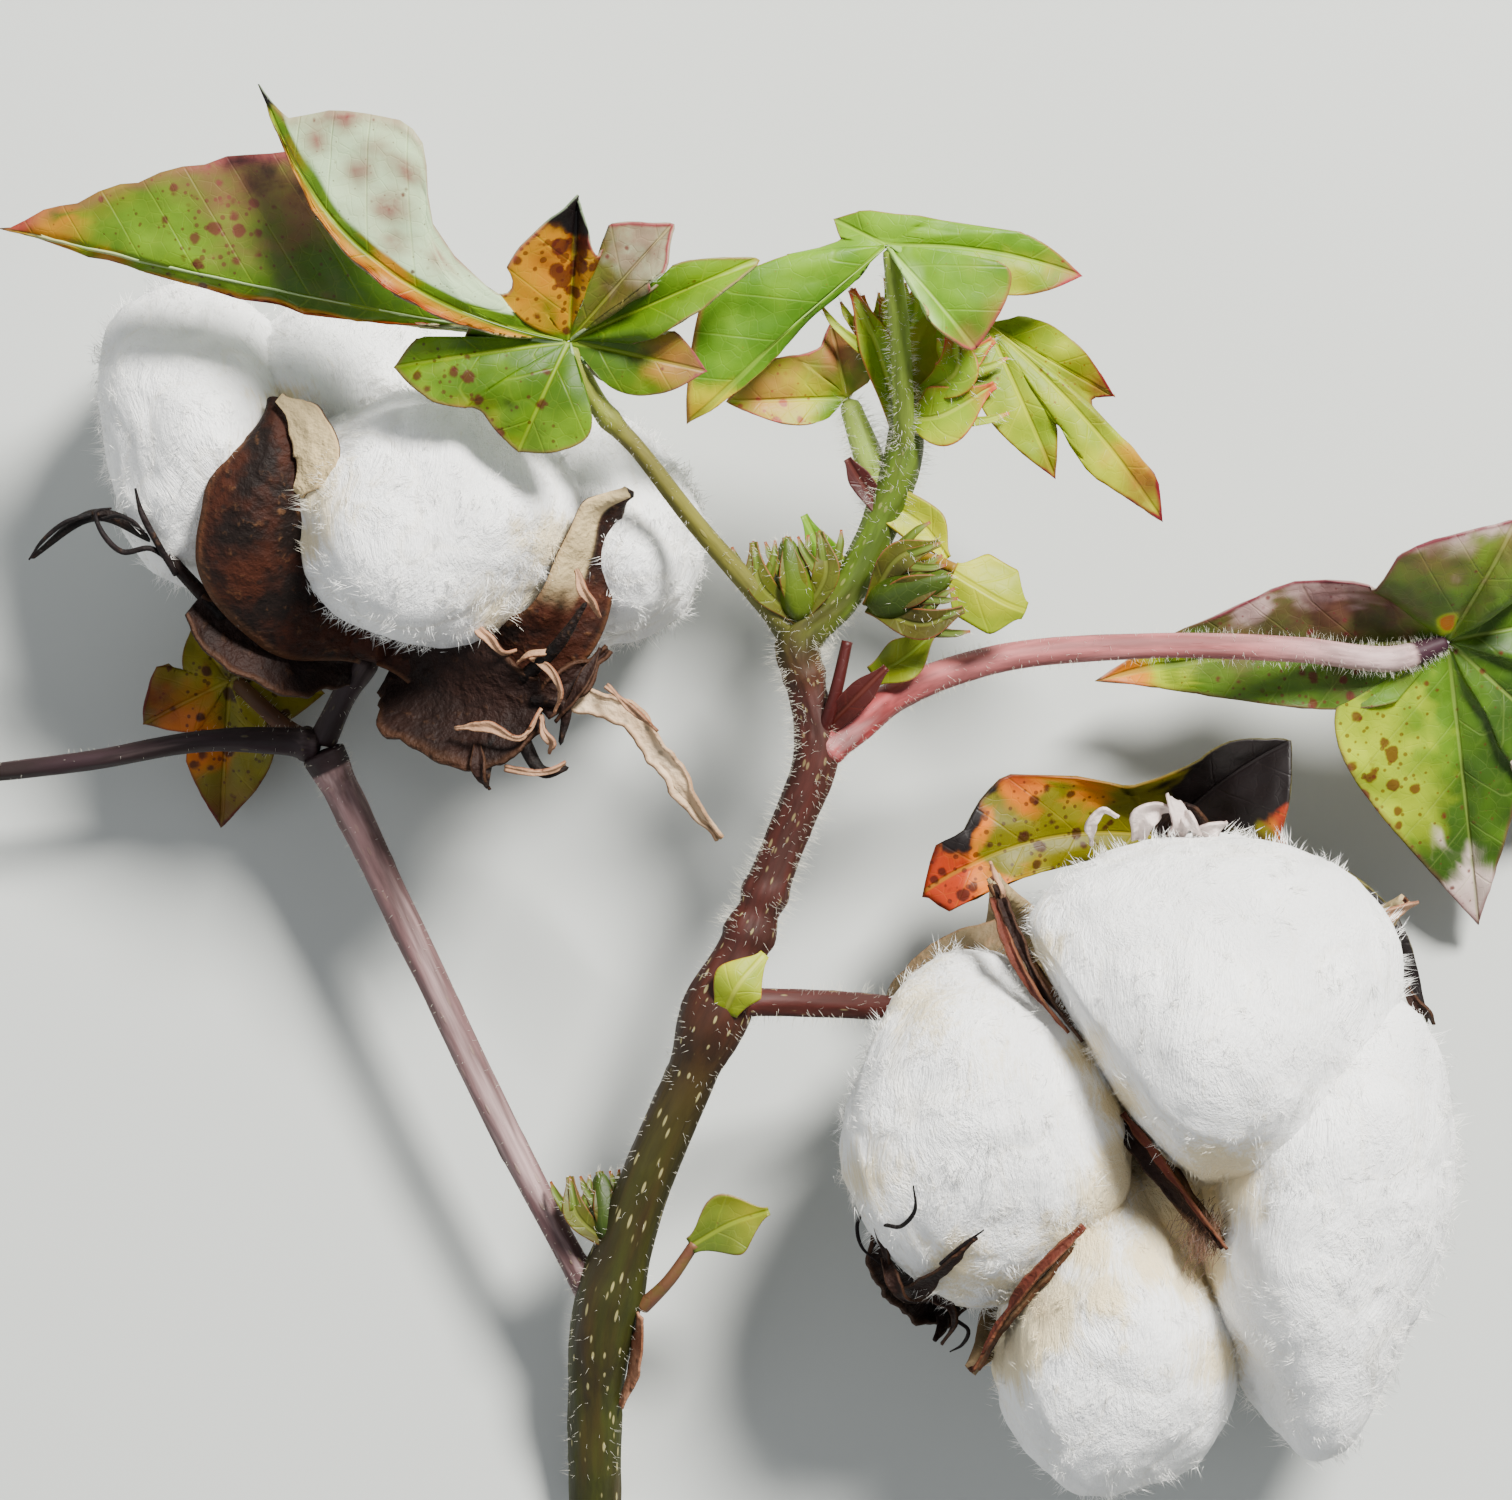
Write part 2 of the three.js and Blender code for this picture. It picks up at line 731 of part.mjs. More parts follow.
// The leaves, with their lobes clockwise as seen from above.
// How broad the flap of the folded lobe is on its right, in even steps from the heart to the tip.
const FOLDED_LOBE = [null, [0, 0.1, 0.36, 0.85, 0.64, 0]];
const LEFT_LEAF = {
  heart: [-21.5, 47, 52],
  stalk: {
    points: [
      [4, 13.5, 34],
      [1, 17, 37],
      [-6.5, 25.5, 42],
      [-13.5, 34.5, 46.5],
      [-18, 39.5, 49],
      [-21.5, 46.5, 52],
    ],
    radii: [1.7, 1.3, 1.1, 1.0, 1.15, 1.0],
  },
  lobes: [
    { tip: [-27.5, 34, 51], wide: [6.5, 8], peak: 0.6, sinus: 0.75 },
    { tip: [-41.5, 44, 51], wide: [7, 5], peak: 0.55 },
    { tip: [-87, 60, 46], wide: [3, 16.5], fold: [-60, 8], swing: 1, peak: 0.42, apart: true },
    {
      tip: [-57, 76.5, 58],
      wide: [4.5, 14.5],
      fold: [-130, 15],
      swing: 7,
      bow: 7,
      profile: FOLDED_LOBE,
      sinus: 0.28,
    },
    { tip: [-20.5, 64, 62], wide: [8.5, 3], fold: [20, 30], bow: 0, peak: 0.4, sinus: 0.6 },
    { tip: [-9.5, 60.5, 60], wide: [6.5, 6], fold: [15, 40], bow: 1, peak: 0.6, sinus: 0.5 },
    { tip: [0.5, 56.5, 57], wide: [3.5, 3.5], fold: [15, 20], peak: 0.5 },
    { tip: [-5.5, 43.5, 52], wide: [4.5, 4.5], fold: [0, -15], bow: 1, peak: 0.5 },
  ],
};
const RIGHT_LEAF = {
  heart: [79.5, 12.5, 18],
  sinus: 0.24,
  stalk: {
    points: [
      [7.5, 0, 33],
      [11, 2.5, 33.5],
      [16.5, 6.5, 33],
      [28, 10.5, 31],
      [45.5, 12, 27],
      [62.5, 11.5, 22],
      [73.5, 10.5, 19.5],
      [79.5, 12.5, 18],
    ],
    radii: [2.1, 2.1, 1.8, 1.6, 1.5, 1.5, 1.5, 1.1],
  },
  lobes: [
    { tip: [39, 8, 12], wide: [7.5, 9], fold: [0, 25], swing: -1, bow: 1, peak: 0.28 },
    { tip: [87.5, 26.5, 30], wide: [11, 6], fold: [20, 20], bow: 3, peak: 0.42, sinus: 0.5 },
    { tip: [107.5, 18, 10], wide: [9, 11], fold: [10, 10], bow: 3, sinus: 0.5 },
    { tip: [99.5, -6, 4], wide: [9, 9], fold: [5, 5], bow: 3, sinus: 0.5 },
    { tip: [83, -20, 4], wide: [9, 14.5], fold: [5, 5], bow: 1, peak: 0.24 },
  ],
};
const TOP_LEAF = {
  heart: [15, 58, 48],
  sinus: 0.5,
  stalk: {
    points: [
      [17, 34, 38],
      [17, 38, 41],
      [16.5, 48.5, 46],
      [15.5, 58, 48],
    ],
    radii: [1.3, 1.2, 1.15, 1.0],
  },
  lobes: [
    { tip: [-8, 37.5, 44], wide: [1.5, 10.5], fold: [-50, 10], peak: 0.48 },
    { tip: [9, 61, 45], wide: [2.5, 2.5], bow: 1 },
    { tip: [37.5, 54.5, 45], wide: [2.8, 4.5], fold: [10, 0], swing: 1, peak: 0.6, apart: true },
    { tip: [25.5, 46, 50], wide: [8.5, 2.6], fold: [0, 40], peak: 0.7 },
  ],
};
const YELLOW_LEAF = {
  heart: [26.5, 49, 40],
  stalk: {
    points: [
      [17.5, 40, 38.5],
      [22.5, 44.5, 40],
      [26.5, 49, 40],
    ],
    radii: [1.0, 0.8, 0.8],
    sides: STALK_SIDES,
  },
  lobes: [
    { tip: [41.5, 40.5, 34], wide: [3.5, 5], fold: [0, -20], bow: 0, sinus: 0.82 },
    { tip: [47, 26, 36], wide: [7, 5], swing: 1, bow: 3, sinus: 0.57 },
    { tip: [34.5, 31, 38], wide: [4, 4.5] },
  ],
};
const BACK_LEAF = {
  heart: [10.5, 40.5, 35.5],
  stalk: {
    points: [
      [15, 28, 36],
      [13, 33.5, 36],
      [10.5, 40.5, 35.5],
    ],
    radii: [1.9, 1.7, 1.2],
  },
  lobes: [
    { tip: [-3.5, 40, 38], wide: [3, 7], fold: [0, 15], bow: 1, sinus: 0.65 },
    { tip: [8.5, 49, 38], wide: [3, 4], fold: [20, 20], bow: 1 },
  ],
};
const SPOTTED_LEAF = {
  heart: [46.5, -10, 13],
  stalk: {
    points: [
      [32, -34.5, 5.5],
      [36.5, -26, 2],
      [40.5, -17, 4.5],
      [46, -10.5, 13],
    ],
    radii: [1.4, 1.2, 1.1, 1.0],
  },
  lobes: [
    { tip: [19, -16.5, 20], wide: [5, 9], fold: [0, 15], swing: -3, bow: 3 },
    { tip: [61.5, 1, 25], wide: [4.5, 9], fold: [20, 15], swing: 1, peak: 0.6, sinus: 0.55 },
    { tip: [77.5, -31.5, 20], wide: [4, 3], fold: [-10, 10], swing: 7 },
  ],
};
const UNDER_LEAF = {
  heart: [-60.5, 8, 10],
  stalk: {
    points: [
      [-50.5, 0.5, 18],
      [-54.5, 3, 13.5],
      [-60, 8, 10],
    ],
    radii: [1.2, 1.0, 0.9],
    sides: STALK_SIDES,
  },
  lobes: [
    { tip: [-61.5, -9, 4], wide: [6, 5], fold: [5, 5], bow: 1 },
    { tip: [-70.5, 3, 7], wide: [4, 6], fold: [0, 10], bow: 1 },
    { tip: [-65, 14, 9], wide: [4, 4], bow: 1 },
    { tip: [-54, 14, 8], wide: [4, 4], bow: 1 },
    { tip: [-49.5, 6.5, 8], wide: [4, 5], bow: 1 },
  ],
};
const BEHIND_RIGHT_BOLL = ["right_branch", "right_peduncle", "right_burr", "right_bract_top", "right_lock_1"];
const LEFT_FORK = ["left_branch", "left_branch_outer", "left_peduncle"];
const LEAVES = {
  left_leaf: { finish: "leaf", sizes: LEFT_LEAF, around: ["main_stem"] },
  right_leaf: { finish: "leaf", sizes: RIGHT_LEAF, around: ["main_stem"] },
  top_leaf: { finish: "young_leaf", sizes: TOP_LEAF, around: ["main_stem"] },
  yellow_leaf: { finish: "yellow_leaf", sizes: YELLOW_LEAF, around: ["main_stem", "top_leaf"] },
  back_leaf: { finish: "young_leaf", sizes: BACK_LEAF, around: ["main_stem"] },
  spotted_leaf: { finish: "dead_leaf", sizes: SPOTTED_LEAF, around: BEHIND_RIGHT_BOLL },
  under_leaf: { finish: "leaf", sizes: UNDER_LEAF, around: LEFT_FORK },
};
for (const [name, { finish, sizes, around }] of Object.entries(LEAVES)) {
  piece(`${name}_stalk`, "stalk", limbOf(sizes.stalk), around);
  piece(name, finish, leafOf(sizes), [...around, `${name}_stalk`]);
}

// Small leaves and scales at the nodes: blades, some of them on a short stalk.
const SMALL_STALK_RADII = [0.9, 0.8, 0.7];
const SMALL_LEAVES = {
  small_leaf_low: {
    stalk: [
      [-13, -64, 16],
      [-10, -61, 19],
      [-7, -56.7, 22],
    ],
    spine: [
      [-7.5, -57, 22],
      [-3, -54.5, 23],
      [1.5, -53, 24],
    ],
    wide: [2, 7.5, 1],
    cup: 0.2,
  },
  small_leaf_mid: {
    spine: [
      [22, 22, 39],
      [19.5, 25.5, 38],
      [16, 28, 37.5],
    ],
    wide: [1, 5, 4.5],
    cup: 0.4,
  },
  small_leaf_side: {
    stalk: [
      [14.5, 22, 36.5],
      [19.5, 22, 38.5],
      [23, 20.8, 40],
    ],
    spine: [
      [22.5, 20.5, 40],
      [25, 19, 40.2],
      [28.5, 17, 40],
      [31, 16, 39],
    ],
    wide: [2.5, 8, 8, 2],
    cup: -0.3,
  },
  small_leaf_inner: {
    spine: [
      [10, 18, 35],
      [8, 22, 36],
      [5.5, 27, 37],
    ],
    wide: [3, 4, 0.9],
    cup: 0.1,
  },
  small_leaf_under: {
    stalk: [
      [8, 3, 33],
      [10.5, 6, 34.5],
      [14, 8.7, 35],
    ],
    spine: [
      [13.5, 8.5, 35],
      [17, 10.5, 36],
      [20.5, 13.5, 36],
    ],
    wide: [2.5, 5, 0.9],
    cup: 0.3,
  },
  scale_low: {
    spine: [
      [-13.5, -65, 17],
      [-14, -70, 14],
      [-15.5, -75.5, 10.5],
    ],
    wide: [1.5, 3, 1],
    turn: 60,
  },
  scale_upper: {
    spine: [
      [15, 27, 37.5],
      [12, 31, 38],
      [10.5, 33.5, 38.5],
    ],
    wide: [2, 2.6, 0.9],
    cup: 0.3,
  },
  scale_node: {
    spine: [
      [-3.5, -30, 33],
      [-2, -27, 35.5],
      [1, -23.5, 34],
    ],
    wide: [3, 6, 1.2],
    cup: -0.2,
  },
  scale_fork: {
    stalk: [
      [7.5, 1.5, 34],
      [9, 6, 36.5],
      [10.5, 12.5, 37],
    ],
    spine: [
      [8, 2.5, 34.5],
      [12, 6.5, 37.5],
      [15, 9.5, 38],
    ],
    wide: [2.5, 3, 0.9],
    cup: 0.3,
  },
};
const AROUND_SMALL = {
  small_leaf_low: ["main_stem"],
  small_leaf_mid: ["main_stem"],
  small_leaf_side: ["main_stem", "small_leaf_mid"],
  small_leaf_inner: ["main_stem"],
  small_leaf_under: ["main_stem", "right_leaf_stalk"],
  scale_low: ["main_stem"],
  scale_upper: ["main_stem", "back_leaf_stalk"],
  scale_node: ["main_stem", "right_branch"],
  scale_fork: ["main_stem", "right_leaf_stalk", "small_leaf_under"],
};
for (const [name, { stalk, ...sizes }] of Object.entries(SMALL_LEAVES)) {
  const stalks = stalk ? [limbOf({ points: stalk, radii: SMALL_STALK_RADII, sides: STALK_SIDES })] : [];
  const finish = name.startsWith("scale") ? "bract" : "yellow_leaf";
  piece(name, finish, group(bladeOf(sizes), ...stalks), AROUND_SMALL[name]);
}

// Flower buds, each an egg in three narrow pointed bracts that spread to both sides.
const BRACT_SPREAD = 0.4; // how far the outer bracts stand aside, as a share of a bud's length
function budOf({ base, tip, radius }) {
  const beside = [base[1] - tip[1], tip[0] - base[0]].map((v) => v * BRACT_SPREAD);
  const halfway = base.map((v, i) => (v + tip[i]) / 2);
  const aside = ([x, y, z], share, rise) => [x + beside[0] * share, y + beside[1] * share, z + rise];
  const bractAt = (share) => ({
    spine: [base, aside(halfway, share, radius / 2), aside(tip, share, 0)],
    wide: [1.6, radius * 1.1, 0.9],
    cup: 0.3,
  });
  return group(eggOf({ base, tip, radius }), ...[-1, 0, 1].map((share) => bladeOf(bractAt(share))));
}
const BUDS = {
  bud_low: { base: [-16.5, -57, 18.5], tip: [-18, -48.5, 19], radius: 2.6 },
  bud_left: { base: [5, 15, 36], tip: [3.5, 24.5, 39], radius: 2.8 },
  bud_right: { base: [13, 16.5, 37.5], tip: [22.5, 20, 42], radius: 3.2 },
};
const AROUND_BUDS = {
  bud_low: ["main_stem", "left_branch"],
  bud_left: ["main_stem", "left_leaf_stalk", "small_leaf_inner"],
  bud_right: ["main_stem", "small_leaf_mid", "small_leaf_side", "small_leaf_inner"],
};
for (const [name, sizes] of Object.entries(BUDS)) {
  piece(name, "bud", budOf(sizes), AROUND_BUDS[name]);
}

// The growing tip: a young bud and narrow bracts round the stem's end.
const TIP_HEART = { base: [18, 40, 38], tip: [20.5, 50.5, 41], radius: 3.4 };
const TIP_BRACTS = [
  {
    spine: [
      [16.5, 37.5, 38],
      [14, 46, 40],
      [11, 53, 41],
    ],
    wide: [2.5, 4, 0.9],
    cup: 0.3,
  },
  {
    spine: [
      [18, 38, 40],
      [21.5, 38.5, 42],
      [27.5, 42, 43],
    ],
    wide: [3, 7, 0.9],
    cup: 0.3,
  },
  {
    spine: [
      [19, 41, 41],
      [23, 43.5, 44],
      [23, 47.5, 44],
    ],
    wide: [2, 5, 2.5],
    cup: 0.3,
  },
  {
    spine: [
      [17.5, 42, 39],
      [15.5, 47.5, 39.5],
      [14.5, 52, 39.5],
    ],
    wide: [2, 2.4, 0.9],
    cup: 0.2,
  },
  {
    spine: [
      [20.5, 44, 41],
      [22, 49, 42],
      [22, 52.5, 42],
    ],
    wide: [2, 2.4, 0.9],
    cup: 0.2,
  },
];
const AROUND_TIP = ["main_stem", "top_leaf", "top_leaf_stalk", "yellow_leaf", "yellow_leaf_stalk", "back_leaf"];
piece("growing_tip", "bud", group(eggOf(TIP_HEART), ...TIP_BRACTS.map(bladeOf)), AROUND_TIP);

shoot.position.set(-CENTRE[0], -CENTRE[1], 0);

export default shoot;
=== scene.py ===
"""Looks of a cut cotton shoot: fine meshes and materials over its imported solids.

Sizes are in millimetres, on the plan that the solids are worked out from: a place is [x, y, height],
with x and y as they show from EYE above the ground, true at the height PLAN. Meshes are in metres.
Colours of finishes are screen values of 0 to 255.
"""

import itertools
import math

import bmesh
import bpy
import numpy as np
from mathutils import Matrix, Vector


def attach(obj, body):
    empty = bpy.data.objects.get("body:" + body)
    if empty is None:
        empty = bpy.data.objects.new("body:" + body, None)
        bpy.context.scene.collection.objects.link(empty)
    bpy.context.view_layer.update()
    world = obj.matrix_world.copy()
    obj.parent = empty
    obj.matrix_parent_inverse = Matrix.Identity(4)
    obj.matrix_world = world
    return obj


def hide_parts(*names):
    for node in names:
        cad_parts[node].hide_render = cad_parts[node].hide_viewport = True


EYE = 800.0
PLAN = 30.0
PHOTO_WIDTH = 1512
MM_PER_PIXEL = 0.115
CENTRE = np.array([5.4, -7.6, 0.0])
UP = np.array([0.0, 0.0, 1.0])
LOWEST = 0.02
LEAST_HALF_WIDTH = 0.15
LEAST_STEPS = 6
CUT_REACH = 6
GRAIN_SHIFT = 37
LATTICE_SIZE = 32
SAMPLES_PER_SPAN = 40

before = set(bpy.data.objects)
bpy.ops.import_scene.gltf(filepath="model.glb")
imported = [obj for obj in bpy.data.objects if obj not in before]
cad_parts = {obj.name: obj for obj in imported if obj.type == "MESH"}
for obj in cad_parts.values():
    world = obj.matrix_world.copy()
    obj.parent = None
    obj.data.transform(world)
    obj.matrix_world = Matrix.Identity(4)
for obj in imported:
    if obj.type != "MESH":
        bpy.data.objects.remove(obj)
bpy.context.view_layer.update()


# Numbers and curves.


def seen(places):
    """Points in the object's frame, in millimetres, that show at places of the plan."""
    p = np.array(places, float).reshape(-1, 3)
    shrink = (EYE - p[:, 2:]) / (EYE - PLAN)
    return np.hstack([p[:, :2] * shrink, p[:, 2:]]) - CENTRE


def on_plan(points):
    """The x and y on the plan at which points show."""
    shrink = (EYE - points[..., 2:]) / (EYE - PLAN)
    return (points[..., :2] + CENTRE[:2]) / shrink


def unit(v):
    return v / np.maximum(np.linalg.norm(v, axis=-1, keepdims=True), 1e-9)


def step_up(low, high, x):
    """0 below low, 1 above high, and a smooth rise between them."""
    t = np.clip((np.asarray(x, float) - low) / (high - low), 0, 1)
    return t * t * (3 - 2 * t)


class Curve:
    """A smooth curve through points. t runs along it from 0 to 1, by the same share from each to the next."""

    def __init__(self, points):
        p = np.asarray(points, float)
        q = np.vstack([2 * p[:1] - p[1:2], p, 2 * p[-1:] - p[-2:-1]])
        gap = np.sum(np.diff(q, axis=0) ** 2, axis=1, keepdims=True) ** 0.25
        x0, x1, x2, x3 = q[:-3], q[1:-2], q[2:-1], q[3:]
        d0, d1, d2 = gap[:-2], gap[1:-1], gap[2:]
        t1 = ((x1 - x0) / d0 - (x2 - x0) / (d0 + d1) + (x2 - x1) / d1) * d1
        t2 = ((x2 - x1) / d1 - (x3 - x1) / (d1 + d2) + (x3 - x2) / d2) * d1
        self.c = [x1, t1, -3 * x1 + 3 * x2 - 2 * t1 - t2, 2 * x1 - 2 * x2 + t1 + t2]
        self.spans = len(p) - 1
        fine = self(np.linspace(0, 1, SAMPLES_PER_SPAN * self.spans))
        self.length = float(np.sum(np.linalg.norm(np.diff(fine, axis=0), axis=1)))

    def terms(self, t):
        place = np.clip(t, 0, 1) * self.spans
        i = np.minimum(place.astype(int), self.spans - 1)
        return (place - i)[:, None], *(k[i] for k in self.c)

    def __call__(self, t):
        w, a, b, c, d = self.terms(t)
        return a + w * (b + w * (c + w * d))

    def heading(self, t):
        w, _, b, c, d = self.terms(t)
        return unit(b + w * (2 * c + w * 3 * d))


def along(values, t):
    """Smoothly, the value at t of numbers spread evenly along a piece; a lone number is constant."""
    values = np.atleast_1d(np.asarray(values, float))
    if len(values) < 2:
        return np.full(len(t), values[0])
    place = np.asarray(t) * (len(values) - 1)
    i = np.minimum(place.astype(int), len(values) - 2)
    w = place - i
    return values[i] + (values[i + 1] - values[i]) * w * w * (3 - 2 * w)


def across(forward, turn=None):
    """Side and face directions across a curve, rolled about it by turn, in degrees."""
    side = unit(np.cross(UP, forward))
    face = np.cross(forward, side)
    if turn is None:
        return side, face
    c, s = np.cos(np.radians(turn))[:, None], np.sin(np.radians(turn))[:, None]
    return side * c + face * s, face * c - side * s


LATTICE = np.random.default_rng(11).uniform(-1, 1, [LATTICE_SIZE] * 3)


def noise(points, size, seed=0):
    """A smooth unevenness from -1 to 1 in space, with lumps of about the given size."""
    q = points / size + seed * 7.31 + 0.37
    base = np.floor(q).astype(int)
    w = q - base
    w = w * w * (3 - 2 * w)
    total = np.zeros(points.shape[:-1])
    for corner in itertools.product((0, 1), repeat=3):
        weight = np.prod(np.where(corner, w, 1 - w), axis=-1)
        i, j, k = np.moveaxis((base + corner) % LATTICE_SIZE, -1, 0)
        total += weight * LATTICE[i, j, k]
    return total


def rough(points, size, seed=0, octaves=3):
    """Unevenness in several sizes, each half of the one before."""
    return sum(noise(points, size / 2**k, seed + 3 * k) / 2**k for k in range(octaves))


def drift(points, size, seed):
    """An uneven direction at each point."""
    return np.stack([noise(points, size, seed + k) for k in range(3)], -1)


def circle(sides):
    return np.linspace(0, 2 * math.pi, sides, endpoint=False)


# Meshes.


def grid_quads(rows, cols, wrap=False):
    index = np.arange(rows * cols).reshape(rows, cols)
    if wrap:
        index = np.hstack([index, index[:, :1]])
    a, b, c, d = index[:-1, :-1], index[:-1, 1:], index[1:, 1:], index[1:, :-1]
    return np.stack([a, b, c, d], -1).reshape(-1, 4)


class Shape:
    """Points in millimetres, faces, and numbers kept at the points, gathered for one mesh."""

    def __init__(self):
        self.points, self.values, self.count = [], {}, 0
        self.quads, self.tris = [np.zeros((0, 4), int)], [np.zeros((0, 3), int)]

    def add(self, points, quads=None, tris=None, **values):
        points = np.asarray(points, float).reshape(-1, 3)
        for faces, kept in ((quads, self.quads), (tris, self.tris)):
            if faces is not None:
                kept.append(faces + self.count)
        for name, value in values.items():
            value = np.asarray(value, float)
            rows = value.reshape(len(points), -1) if value.ndim else np.full((len(points), 1), value)
            self.values.setdefault(name, []).append((self.count, rows))
        self.points.append(points)
        self.count += len(points)


def add_object(name, data):
    made = bpy.data.objects.new(name, data)
    bpy.context.scene.collection.objects.link(made)
    return made


def make(shape, name, material, slot, *nodes):
    """Makes the gathered shape into an object that stands for nodes of the solid model."""
    points = np.vstack(shape.points)
    points[:, 2] = np.maximum(points[:, 2], LOWEST)
    quads, tris = np.vstack(shape.quads), np.vstack(shape.tris)
    corners = np.concatenate([quads.ravel(), tris.ravel()])
    starts = np.concatenate([np.arange(len(quads)) * 4, quads.size + np.arange(len(tris)) * 3])
    mesh = bpy.data.meshes.new(name)
    mesh.vertices.add(len(points))
    mesh.vertices.foreach_set("co", (points / 1000).ravel())
    mesh.loops.add(len(corners))
    mesh.loops.foreach_set("vertex_index", corners)
    mesh.polygons.add(len(starts))
    mesh.polygons.foreach_set("loop_start", starts)
    mesh.update(calc_edges=True)
    mesh.shade_smooth()
    for key, parts in shape.values.items():
        width = parts[0][1].shape[1]
        full = np.zeros((len(points), width))
        for start, part in parts:
            full[start : start + len(part)] = part
        kind, field = ("FLOAT", "value") if width == 1 else ("FLOAT_VECTOR", "vector")
        mesh.attributes.new(key, kind, "POINT").data.foreach_set(field, full.ravel())
    mesh.materials.append(material)
    piece = add_object(name, mesh)
    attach(piece, "root")
    if nodes:
        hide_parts(*nodes)


def add_limb(shape, points, radii, sides, step=0.4, relief=None, cut=False, blunt=(0, 0), seed=0, **values):
    """A round limb through places, whose points, normals and runs from 0 to 1 are given back. relief gives
    its unevenness from the distance along it, the angle round it and its radius. cut squares its start, and
    blunt rounds its ends, as shares of their radius."""
    curve = Curve(seen(points))
    rings = max(int(curve.length / step), LEAST_STEPS) + 1
    t = np.linspace(0, 1, rings)
    distance = t * curve.length
    forward = curve.heading(t)
    if cut:
        near = (1 - step_up(0, CUT_REACH, distance))[:, None]
        forward = unit(forward * (1 - near) + np.array([0, 1, 0]) * near)
    side, face = across(forward)
    radius = along(radii, t)
    for away, share in zip((distance, curve.length - distance), blunt):
        if share:
            inside = np.clip(away / (radius * share), 0, 1)
            radius = radius * np.sqrt(np.clip(1 - (1 - inside) ** 2, 0.0009, 1))
    angle = circle(sides)
    out = side[:, None] * np.cos(angle)[:, None] + face[:, None] * np.sin(angle)[:, None]
    size = radius[:, None] * np.ones(sides)
    if relief:
        size = size + relief(distance[:, None], angle, radius[:, None])
    middle = curve(t)
    skin = (middle[:, None] + out * size[..., None]).reshape(-1, 3)
    first = np.arange(sides)
    last = first + len(skin) - sides
    start_cap = np.stack([np.full(sides, len(skin)), np.roll(first, -1), first], 1)
    end_cap = np.stack([np.full(sides, len(skin) + 1), last, np.roll(last, -1)], 1)
    grain = np.stack([np.cos(angle) * size, np.sin(angle) * size, distance[:, None] * np.ones(sides)], -1)
    grain = np.vstack([grain.reshape(-1, 3), [[0, 0, 0], [0, 0, curve.length]]])
    grain[:, 2] += seed * GRAIN_SHIFT
    run = np.repeat(t, sides)
    shape.add(
        np.vstack([skin, middle[:1], middle[-1:]]), grid_quads(rings, sides, wrap=True),
        np.vstack([start_cap, end_cap]), grain=grain, run=np.append(run, [0, 1]), **values,
    )
    return skin, out.reshape(-1, 3), run


def face_directions(grid):
    return unit(np.cross(np.gradient(grid, axis=1), np.gradient(grid, axis=0)))


def add_sheet(shape, grid, thick, **values):
    """A closed thin sheet over a grid of points. Its top looks along the grid's columns crossed with its
    rows, and values, given for the grid, are kept on both sides, with layer 1 on top and 0 beneath."""
    rows, cols = grid.shape[:2]
    count = rows * cols
    half = face_directions(grid) * (thick / 2)
    top = grid_quads(rows, cols)
    index = np.arange(count).reshape(rows, cols)
    rim = np.concatenate([index[0, :-1], index[:-1, -1], index[-1, :0:-1], index[:0:-1, 0]])
    after = np.roll(rim, -1)
    wall = np.stack([rim, rim + count, after + count, after], 1)
    both = {key: np.tile(value.reshape(count, -1), (2, 1)) for key, value in values.items()}
    quads = np.vstack([top, top[:, ::-1] + count, wall])
    shape.add(np.stack([grid + half, grid - half]), quads, layer=np.repeat([1, 0], count), **both)


def add_blade(
    shape, spine, wide, turn=0, cup=0, thick=0.3, cols=21, step=0.4, curl=0, ripple=0.5, jag=0, seed=0,
    **values,
):
    """A thin blade along a spine, as broad as wide and rolled by turn, with its edges raised by cup.
    curl rolls its edges in further, ripple waves them and jag tears them, in millimetres. A value is
    a number, or a function of the place along and across the blade."""
    curve = Curve(seen(spine))
    t = np.linspace(0, 1, max(int(curve.length / step), LEAST_STEPS) + 1)
    side, face = (d[:, None] for d in across(curve.heading(t), along(turn, t)))
    middle = curve(t)[:, None]
    q = np.linspace(1, -1, cols)
    ones = np.ones((len(t), cols))
    half = along(wide, t)[:, None] / 2 * ones
    flat = middle + side * (q * half)[..., None]
    half = np.maximum(half + jag * rough(flat, 3.0, seed + 5) * (np.abs(q) > 0.5), LEAST_HALF_WIDTH)
    rise = cup * half * np.sqrt(q * q + 0.02) + curl * np.abs(q) ** 4 * step_up(0, 0.3, t)[:, None]
    wave = rough(flat, 5.0, seed) * (0.3 + 0.7 * np.abs(q)) * ripple * np.minimum(1, half / 1.5)
    grid = middle + side * (q * half)[..., None] + face * (rise + wave)[..., None]
    kept = {key: ones * (value(t[:, None], q) if callable(value) else value) for key, value in values.items()}
    kept["along"] = t[:, None] * curve.length * ones
    add_sheet(shape, grid, thick, across=q * half, edge=np.abs(q) * ones, **kept)


def add_egg(shape, base, tip, radius, ridges, sides=28, rows=24, **values):
    start, end = seen(base)[0], seen(tip)[0]
    side, face = (d[0] for d in across(unit(end - start)[None]))
    lift = np.linspace(0, math.pi, rows)[:, None]
    angle = circle(sides)[None]
    t = (1 - np.cos(lift)) / 2
    size = radius * (1 - 0.45 * t) * np.sin(lift) * (1 + ridges * np.cos(5 * angle))
    out = side * np.cos(angle)[..., None] + face * np.sin(angle)[..., None]
    points = start + (end - start) * t[..., None] + out * size[..., None]
    shape.add(points, grid_quads(rows, sides, wrap=True), **values)


rng = np.random.default_rng(5)
THREE_WAYS = (0, 2.094, 4.189)
SCATTER = 0.12


